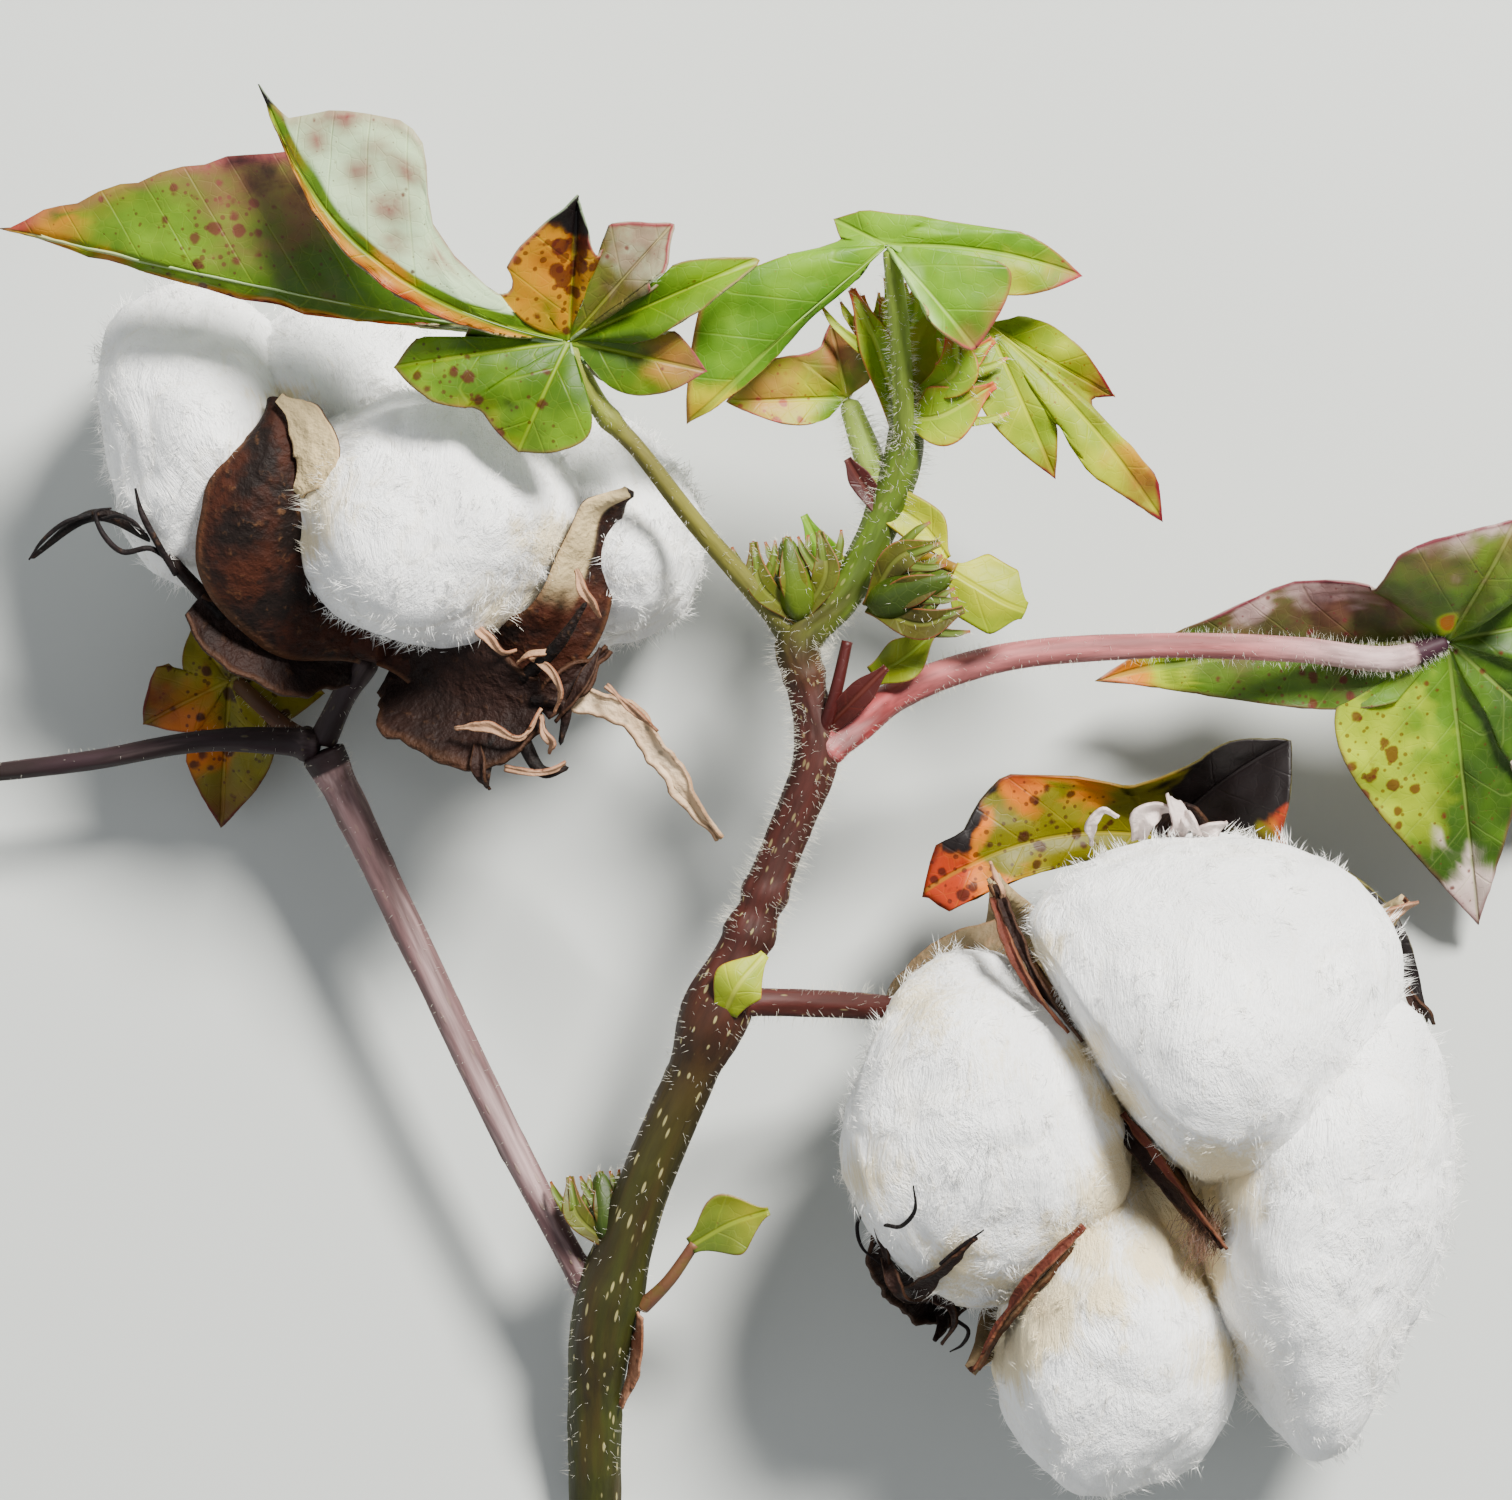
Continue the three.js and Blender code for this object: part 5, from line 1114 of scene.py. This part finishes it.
# A mark is its x, y, radius and strength on the plan, and the lobes it is kept to, if not all.
LEAF_MARKS = {
    "left_leaf": {
        "dead": [(-28.5, 40, 1.6, 0.5, 0), (-57, 66.5, 3.6, 0.62, 2), (-52, 64.5, 2.6, 0.6, 2),
            (-60.5, 67.5, 2.6, 0.55, 2), (-57, 77, 3, 1.1, 3), (-31, 53, 2.6, 0.8, 4),
            (-20.5, 63, 4.2, 1.2, 4), (-21, 58, 2.2, 0.6, 4), (-14, 60, 2.4, 0.3, 5),
            (-17, 55, 2.4, 0.3, 5), (-12, 46, 2.5, 0.4, 7)],
        "rosy": [(-58, 65.5, 6, 0.75, 2), (-52, 64, 5, 0.75, 2), (-45.5, 66.5, 1.7, 0.95, 3),
            (-42, 62.5, 1.9, 1, 3), (-50.5, 70, 1.5, 0.9, 3), (-47.5, 72, 1.3, 0.85, 3),
            (-39.5, 66.5, 1.6, 1, 3), (-36.5, 56.5, 1.6, 0.85, 3), (-44, 69.5, 1.3, 0.9, 3),
            (-41.5, 58.5, 1.5, 0.8, 3), (-13, 58, 8, 0.75, 5), (-6, 59, 6, 0.85, 5), (-15, 52, 5, 0.4, 5),
            (-6, 44, 5, 0.6, 7)],
        "warm": [(-34, 37, 6, 0.35, 0, 1), (-87, 60, 8, 1.2, 2), (-79, 60, 4, 0.4, 2), (-55, 71, 4, 0.4, 2),
            (-76, 64.5, 5, 0.35, 2), (-43, 54.5, 4, 0.7, 3), (-54, 68, 3, 0.4, 3), (-23, 57, 8, 0.75, 4),
            (-20, 59, 4, 1, 4), (-27, 50, 6, 0.5, 4), (-10, 45, 5, 0.4, 7)],
        "spots": [(-26, 38, 5, 0.8, 0), (-35, 40, 8, 0.8, 0, 1), (-61.5, 59.5, 6, 1, 2),
            (-64, 57.5, 4, 1, 2), (-50, 56, 6, 0.5, 2), (-68, 62, 8, 0.5, 2), (-22, 57, 7, 1.5, 4)],
        "pale": [(-12, 57, 5, 0.8, 5), (-9, 59, 5, 0.9, 5)],
    },
    "right_leaf": {
        "rosy": [(66, 19, 8, 0.75, 0), (73, 20, 6, 0.85, 0), (56, 15, 6, 0.6, 0), (78, 26, 8, 0.7, 1),
            (88, 25, 6, 0.6, 1), (104, 17, 8, 0.35, 2), (85, -21, 3, 0.5, 4)],
        "dead": [(64, 16, 5, 0.45, 0), (72, 16, 4, 0.45, 0), (84, -21, 2, 0.5, 4)],
        "warm": [(42, 8, 6, 1.2, 0), (79.5, 14.6, 0.9, 1.8, 1), (98, -4, 6, 0.5, 3), (68, 0, 9, 0.5, 4),
            (74, -6, 8, 0.45, 4)],
        "spots": [(62, 6, 12, 0.6, 0), (92, 8, 10, 0.5, 2, 3), (71, -2, 9, 0.9, 4), (74, -9, 7, 0.7, 4)],
        "pale": [(70, 21, 3.4, 1, 0), (63.5, 19.5, 3, 0.9, 0), (57, 16.5, 2.4, 0.9, 0),
            (76, 21, 2.6, 0.8, 0), (80, 26, 4, 0.7, 1), (76, 28, 4, 1.1, 1), (84, 28.5, 4, 1.1, 1),
            (90, 28, 4, 0.9, 1), (83, -18, 5, 1.1, 4)],
    },
    "top_leaf": {
        "warm": [(-7, 39, 4, 0.7, 0), (30, 53, 5, 0.35, 2)],
        "pale": [(16.5, 54, 4, 0.6, 3), (19, 49, 3.5, 0.45, 3)],
        "rosy": [(37, 54, 3, 0.7, 2), (29, 50, 3, 0.4, 3), (25, 46, 2.5, 0.5, 3)],
    },
    "yellow_leaf": {
        "rosy": [(40, 42, 3, 0.8), (45, 31, 4, 0.75), (47, 26, 2.5, 1), (34.5, 31, 2, 0.8)],
        "warm": [(44, 34, 4, 0.5)],
        "spots": [(34, 42, 7, 0.35)],
    },
    "back_leaf": {
        "warm": [(5, 40, 7, 0.45)],
        "rosy": [(0, 41, 4, 0.6), (9, 46, 4, 0.7)],
        "spots": [(4, 39, 5, 0.6)],
    },
    "spotted_leaf": {
        "warm": [(20.5, -15, 5, 1.6, 0), (23, -18, 5, 1.2, 0), (25, -8, 3, 0.8, 0), (30, -3.5, 3.5, 0.9, 0),
            (38, -4, 3, 0.55, 0), (63, -7, 4, 2.6, 1), (69, -18, 2.5, 1.2, 2)],
        "dead": [(22.8, -9.6, 2.2, 1.3, 0), (24.5, -6.3, 2, 1.2, 0), (27, -4, 1.6, 0.9, 0),
            (20.3, -11.6, 1.2, 0.9, 0), (54.5, -4, 7, 1.5, 1), (58.5, 0.5, 3.8, 1.5, 1),
            (61, 1.5, 2.4, 1.5, 1), (66.5, -9, 2.2, 1.2, 1), (65, -4, 1.2, 0.9, 1), (70, -14, 9, 1.5, 2),
            (77, -28, 12, 1.5, 2), (62, -8, 5, 0.8, 2)],
        "spots": [(25, -10, 5, 1.4, 0), (32, -9, 9, 0.85, 0), (23, -16, 4, 1, 0)],
        "rosy": [(30, -2.5, 3, 0.5, 0)],
    },
    "under_leaf": {
        "rosy": [(-69, 6, 4, 0.8), (-62, -7, 4, 0.7)],
        "spots": [(-60, 5, 9, 1)],
        "dead": [(-60, 9, 4, 0.6), (-61.5, -9, 3, 0.5)],
        "warm": [(-66, 2, 6, 0.6)],
    },
}
# Marks on half a lobe: (lobe, kind, side, start, end), with start and end in millimetres from its midrib.
LEAF_HALVES = {"left_leaf": [(3, "pale", -1, 0.9, 1.9), (3, "warm", 1, -0.6, 1.9), (2, "warm", 1, 0.8, 2.8)]}
# A row is (finish, slot, marks all over, ruffle, rings, stations on half a lobe).
LEAF_LOOKS = {
    "left_leaf": (LEAF, "leaf", {"spots": 0.12}, 0.9, 64, 20),
    "right_leaf": (SHADED_LEAF, "leaf", {"spots": 0.15}, 1.2, 64, 20),
    "top_leaf": (YOUNG_LEAF, "young_leaf", {}, 0.8, 42, 16),
    "yellow_leaf": (YELLOW_LEAF, "yellow_leaf", {}, 0.8, 42, 16),
    "back_leaf": (YOUNG_LEAF, "young_leaf", {"warm": 0.2}, 0.8, 42, 16),
    "spotted_leaf": (DEAD_LEAF, "dead_leaf", {"spots": 0.3}, 1.3, 42, 16),
    "under_leaf": (DEAD_LEAF, "leaf", {"spots": 0.3}, 1.0, 42, 16),
}


def lobe_surface(heart, tip, wide, fold=(0, 0), swing=0, bow=2, **_):
    """The point of a lobe at share s along its midrib and q across, from 1, left, to -1, right."""
    run = seen(tip)[0] - heart
    side, face = (d[0] for d in across(unit(run[None])))
    wide, fold = np.array(wide, float), np.radians(np.array(fold, float))

    def surface(s, q):
        s, q = np.broadcast_arrays(np.asarray(s, float), np.asarray(q, float))
        bend = 4 * s * (1 - s)
        left = np.where(q > 0, 0, 1)
        reach = q * wide[left]
        sideways = (swing * bend + reach * np.cos(fold[left]))[..., None]
        lift = (np.abs(reach) * np.sin(fold[left]))[..., None]
        return heart + run * s[..., None] + side * sideways + UP * (bow * bend)[..., None] + face * lift

    return surface


def lobe_shape(lobe, s, left):
    """Share of a lobe's half width at share s of its length, by its peak or by a profile in even steps."""
    profile = lobe.get("profile", (None, None))[left]
    if profile:
        return along(profile, np.clip(s, 0, 1))
    return np.sin(math.pi * np.clip(s, 0, 1) ** (math.log(0.5) / math.log(lobe.get("peak", 0.4))))


def leaf_grid(heart, lobes, sinus, rings, stations, first):
    """Points of joined lobes, ring by ring from the leaf's heart to the edge, and each point's place:
    its distance along its lobe and across it, its share of the way out, and its lobe's number."""
    surfaces = [lobe_surface(heart, **lobe) for lobe in lobes]
    lengths = [np.linalg.norm(seen(lobe["tip"])[0] - heart) for lobe in lobes]
    r = np.linspace(0.015, 1, rings)

    def notch(k):
        return lobes[k].get("sinus", sinus) if k >= 0 else sinus

    def bearing(k, s):
        arm = surfaces[k](s, 0.0) - heart
        return math.atan2(arm[1], arm[0])

    def half_width(k, s, hand):
        left = 0 if hand > 0 else 1
        width = float(lobe_shape(lobes[k], s, left))
        reach = lobes[k]["wide"][left] * math.cos(math.radians(lobes[k].get("fold", (0, 0))[left]))
        other = k - hand
        if not 0 <= other < len(lobes):
            return width
        before, after = (other, k) if hand > 0 else (k, other)
        angle = (bearing(before, s) - bearing(after, s)) % (2 * math.pi)
        room = np.linalg.norm(surfaces[k](s, 0.0) - heart) * math.tan(min(LOBE_SHARE * angle, WIDEST_ANGLE))
        return min(width, room / reach)

    def ray(k, s, hand):
        half = hand * half_width(k, s, hand) if hand else 0.0
        left = 0 if half > 0 else 1
        out = half * r ** lobes[k].get("sweep", (1, 1))[left]
        place = [s * r * lengths[k], out * lobes[k]["wide"][left], r, np.full(rings, first + k)]
        return surfaces[k](s * r, out), np.stack(place, -1)

    def side_of(k, hand):
        other = k - hand
        low = notch(other if hand > 0 else k)
        joins = 0 <= other < len(lobes)
        meet = (ray(k, low, hand)[0] + ray(other, low, -hand)[0]) / 2 if joins else None
        made = []
        for u in 1 - (1 - np.linspace(0, 1, stations)) ** 1.2:
            points, place = ray(k, low + (1 - low) * u, hand)
            if joins:
                share = 1 - step_up(0, 0.3, u)
                points = points * (1 - share) + meet * share
            made.append((points, place))
        return made

    last = len(lobes) - 1
    columns = [ray(0, s, 1) for s in np.linspace(LEAF_FOOT, sinus, 8)[:-1]]
    for k in range(len(lobes)):
        columns += side_of(k, 1) + side_of(k, -1)[-2::-1]
    columns += [ray(last, s, -1) for s in np.linspace(notch(last), LEAF_FOOT, 8)[1:]]
    return (np.stack(part, 1) for part in zip(*columns))


def joined(lobes):
    """Groups of lobes that are joined, each with the number of its first lobe."""
    groups = [(0, [])]
    for k, lobe in enumerate(lobes):
        groups[-1][1].append(lobe)
        if lobe.get("apart"):
            groups.append((k + 1, []))
    return groups


def stains(points, lobe, marks):
    """How much of each kind of mark there is at points."""
    flat = on_plan(points)
    uneven = 1 + 0.35 * rough(points, 4.0, 3) + 0.3 * rough(points, 1.6, 8, 2)
    out = {key: np.zeros(lobe.shape) for key in MARK_KEYS}
    for kind, spots in marks.items():
        for x, y, radius, strength, *only in spots:
            away = np.hypot(flat[..., 0] - x, flat[..., 1] - y) * uneven / radius
            amount = strength * np.exp(-(away**2))
            if only:
                amount = amount * np.isin(lobe, only)
            out[kind] = np.maximum(out[kind], amount)
    return out


for i, (name, (finish, slot, everywhere, ruffle, rings, stations)) in enumerate(LEAF_LOOKS.items()):
    sizes, seed, leaf = LEAVES[name], i + 41, Shape()
    sinus = sizes.get("sinus", SINUS)
    for first, group in joined(sizes["lobes"]):
        grid, place = leaf_grid(seen(sizes["heart"])[0], group, sinus, rings, stations, first)
        down, away, r, lobe = np.moveaxis(place, -1, 0)
        groove = -0.28 * np.exp(-((away / 0.9) ** 2)) * np.minimum(1, r * 4)
        slant = down - VEIN_SLANT * np.abs(away)
        puff = np.abs(np.sin(math.pi * slant / VEIN_STEP)) * np.minimum(1, np.abs(away) / 2) * QUILT
        wave = ruffle * rough(grid, 9.0, seed) * r**2 + 0.25 * ruffle * rough(grid, 3.0, seed + 2) * r**3
        grid = grid + face_directions(grid) * (groove + puff + wave)[..., None]
        tone = stains(grid, lobe, LEAF_MARKS[name])
        for key, amount in everywhere.items():
            tone[key] = np.maximum(tone[key], amount)
        for k, key, side, start, end in LEAF_HALVES.get(name, ()):
            tone[key] = np.maximum(tone[key], step_up(start, end, away * side) * (lobe == k))
        add_sheet(leaf, grid, LEAF_THICK, along=down, across=away, edge=r, **tone)
    make(leaf, name + "_blade", finish, slot, name)


# Small leaves, scales, buds and the growing tip. A small leaf is its finish, its slot, how rosy and how
# warm it is, its blade and its stalk. A bract of the tip is its spine, its widths and its cup.

SMALL_LEAVES = {
    "small_leaf_low": (LEAF, "yellow_leaf", 0.15, 0.2,
        ([[-7.5, -57, 22], [-3, -54.5, 23], [1.5, -53, 24]], [2, 7.5, 1], 0, 0.2),
        [[-13, -64, 16], [-10, -61, 19], [-7, -56.7, 22]]),
    "small_leaf_mid": (YELLOW_LEAF, "yellow_leaf", 0.1, 0.1,
        ([[22, 22, 39], [19.5, 25.5, 38], [16, 28, 37.5]], [1, 5, 4.5], 0, 0.4), None),
    "small_leaf_side": (YELLOW_LEAF, "yellow_leaf", 0.1, 0,
        ([[22.5, 20.5, 40], [25, 19, 40.2], [28.5, 17, 40], [31, 16, 39]], [2.5, 8, 8, 2], 0, -0.3),
        [[14.5, 22, 36.5], [19.5, 22, 38.5], [23, 20.8, 40]]),
    "small_leaf_inner": (YOUNG_LEAF, "yellow_leaf", 0, 0,
        ([[10, 18, 35], [8, 22, 36], [5.5, 27, 37]], [3, 4, 0.9], 0, 0.1), None),
    "small_leaf_under": (YOUNG_LEAF, "yellow_leaf", 0.1, 0.3,
        ([[13.5, 8.5, 35], [17, 10.5, 36], [20.5, 13.5, 36]], [2.5, 5, 0.9], 0, 0.3),
        [[8, 3, 33], [10.5, 6, 34.5], [14, 8.7, 35]]),
    "scale_low": (TOOTH, "bract", 0.8, 0.3,
        ([[-13.5, -65, 17], [-14, -70, 14], [-15.5, -75.5, 10.5]], [1.5, 3, 1], 60), None),
    "scale_upper": (DARK_SCALE, "bract", 0.6, 0.2,
        ([[15, 27, 37.5], [12, 31, 38], [10.5, 33.5, 38.5]], [2, 2.6, 0.9], 0, 0.3), None),
    "scale_node": (TIP_GREEN, "bract", 0.1, 0,
        ([[-3.5, -30, 33], [-2, -27, 35.5], [1, -23.5, 34]], [3, 6, 1.2], 0, -0.2), None),
    "scale_fork": (DARK_SCALE, "bract", 0.5, 0.3,
        ([[8, 2.5, 34.5], [12, 6.5, 37.5], [15, 9.5, 38]], [2.5, 3, 0.9], 0, 0.3),
        [[7.5, 1.5, 34], [9, 6, 36.5], [10.5, 12.5, 37]]),
}
BUDS = {
    "bud_low": ([-16.5, -57, 18.5], [-18, -48.5, 19], 2.6),
    "bud_left": ([5, 15, 36], [3.5, 24.5, 39], 2.8),
    "bud_right": ([13, 16.5, 37.5], [22.5, 20, 42], 3.2),
}
OUTER_BUD = ([-92.5, -3, 12.6], [-97.5, -2, 13], 1.9)
TIP_HEART = ([18, 40, 38], [20.5, 50.5, 41], 3.4)
TIP_BRACTS = [
    ([[16.5, 37.5, 38], [14, 46, 40], [11, 53, 41]], [2.5, 4, 0.9], 0.3),
    ([[18, 38, 40], [21.5, 38.5, 42], [27.5, 42, 43]], [3, 7, 0.9], 0.3),
    ([[19, 41, 41], [23, 43.5, 44], [23, 47.5, 44]], [2, 5, 2.5], 0.3),
    ([[17.5, 42, 39], [15.5, 47.5, 39.5], [14.5, 52, 39.5]], [2, 2.4, 0.9], 0.2),
    ([[20.5, 44, 41], [22, 49, 42], [22, 52.5, 42]], [2, 2.4, 0.9], 0.2),
    ([[17.1, 45.6, 39.5], [18.3, 50.2, 40.5], [18.9, 53.5, 41]], [2, 3.4, 1.4], 0.4),
    ([[19.4, 45.5, 40.5], [21.7, 48.9, 41.5], [23.4, 51.8, 42]], [2, 3.2, 1.2], 0.4),
    ([[19.8, 41.4, 41], [23.5, 43.9, 43], [27.3, 47.2, 43]], [1.6, 3, 0.9], 0.4),
    ([[15.6, 42.5, 38.5], [12.9, 48, 39], [11.9, 52.2, 39]], [2, 3, 1.2], 0.4),
]
ON_STALK = {"rosy": 0.75, "across": 4.0, "along": 2.0, "edge": 0.5, "layer": 1.0}
ON_EGG = {"across": 3.0, "along": 3.0, "edge": 0.3, "layer": 1.0}
small_down = Shape()

for i, (name, (finish, slot, rosy, warm, blade, stalk)) in enumerate(SMALL_LEAVES.items()):
    leaf = Shape()
    add_blade(leaf, *blade, seed=i + 61, rosy=rosy, warm=warm)
    if stalk:
        add_limb(leaf, stalk, [0.9, 0.75, 0.65], 14, seed=i, **ON_STALK)
    make(leaf, name + "_blade", finish, slot, name)


def blush(t, q):
    """Redness that grows towards a bract's tip and edges."""
    return 0.8 * step_up(0.7, 1.0, t) + 0.25 * np.abs(q) ** 6


def add_bract_leaf(shape, spine, wide, cup, seed, rosy=0.12):
    """A green bract whose end runs out into three narrow teeth."""
    add_blade(shape, spine, wide, cup=cup, seed=seed, rosy=rosy, warm=0.05)
    _, start, end = np.array(spine, float)
    way = end - start
    beside = np.array([-way[1], way[0], 0.0])
    for k, lean in enumerate((-0.55, 0.0, 0.55)):
        tooth = [
            start + way * 0.1 + beside * lean * 0.35,
            start + way * 0.6 + beside * lean * 0.8 + [0, 0, 0.4],
            start + way * (1.02 - 0.1 * abs(lean)) + beside * lean * 0.95,
        ]
        add_blade(shape, tooth, [1.5, 0.9, 0.3], thick=0.22, seed=seed + k + 1, rosy=blush, warm=0.05)


def add_bud_hairs(shape, count, length):
    points = np.vstack(shape.points)
    roots, out = scatter(points, unit(points - points.mean(0)), np.ones(len(points)), count)
    add_hairs(small_down, roots, out + rng.normal(size=out.shape) * 0.3, length, 0.02, 0.3)


def round_bud(base, tip, spread):
    """Base, middle, tip and side step of a bud whose bracts stand spread times its length apart."""
    base, tip = np.array(base, float), np.array(tip, float)
    return base, (base + tip) / 2, tip, np.array([base[1] - tip[1], tip[0] - base[0], 0]) * spread


for i, (name, (base, tip, radius)) in enumerate(BUDS.items()):
    bud = Shape()
    add_egg(bud, base, tip, radius, 0.05, **ON_EGG)
    foot, middle, end, beside = round_bud(base, tip, 0.4)
    for share in (-1, 0, 1):
        spine = [foot, middle + beside * share + [0, 0, radius / 2], end + beside * share]
        add_bract_leaf(bud, spine, [1.6, radius * 1.1, 0.9], 0.3, 10 * i + share + 71)
    add_bud_hairs(bud, 260, 0.9)
    make(bud, name + "_green", BUD, "bud", name)

outer_bud = Shape()
add_egg(outer_bud, *OUTER_BUD, 0.08, warm=0.8, dead=0.4, **ON_EGG)
foot, middle, end, beside = round_bud(*OUTER_BUD[:2], 0.3)
for share in (-1, 0, 1):
    spine = [foot, middle + beside * share + [0, 0, 0.8], end + beside * share * 0.4]
    add_blade(outer_bud, spine, [1.0, 1.8, 0.4], cup=0.3, seed=91 + share, rosy=0.6, warm=0.8)
make(outer_bud, "left_branch_bud_scales", BUD, "bud", "left_branch_bud")

tip_piece = Shape()
add_egg(tip_piece, *TIP_HEART, 0.08, rosy=0.2, **ON_EGG)
for i, (spine, wide, cup) in enumerate(TIP_BRACTS):
    add_bract_leaf(tip_piece, spine, wide, cup, 101 + 5 * i, blush)
add_bud_hairs(tip_piece, 900, 1.3)
make(tip_piece, "growing_tip_green", TIP_GREEN, "bud", "growing_tip")
make(small_down, "bud_hairs", DOWN, "bud")


# Floor, lights and camera.

floor_mesh = bpy.data.meshes.new("floor")
floor_mesh.from_pydata([(-6, -6, 0), (6, -6, 0), (6, 6, 0), (-6, 6, 0)], [], [(0, 1, 2, 3)])
floor_mesh.materials.append(Finish("floor_paint", 0.9).done((184, 187, 184)))
floor = add_object("floor", floor_mesh)


def area_light(name, place, size, power, colour):
    light = bpy.data.lights.new(name, "AREA")
    light.shape = "DISK"
    light.size = size
    light.energy = power
    light.color = colour
    made = add_object(name, light)
    made.location = place
    made.rotation_euler = (-Vector(place)).to_track_quat("-Z", "Y").to_euler()


area_light("key", (0.42, 0.66, 0.9), 0.3, 52, (1.0, 0.98, 0.93))
area_light("fill", (-0.8, -0.3, 0.9), 1.2, 5, (0.92, 0.96, 1.0))
world = bpy.data.worlds.new("soft_sky")
world.use_nodes = True
sky = world.node_tree.nodes["Background"].inputs
sky["Color"].default_value = (0.93, 0.96, 1.0, 1)
sky["Strength"].default_value = 0.36
bpy.context.scene.world = world

camera_data = bpy.data.cameras.new("camera")
camera_data.sensor_width = 36
camera_data.lens = camera_data.sensor_width * (EYE - PLAN) / (PHOTO_WIDTH * MM_PER_PIXEL)
camera_data.clip_start = 0.01
camera = add_object("camera", camera_data)
camera.location = (-CENTRE[0] / 1000, -CENTRE[1] / 1000, EYE / 1000)
bpy.context.scene.camera = camera
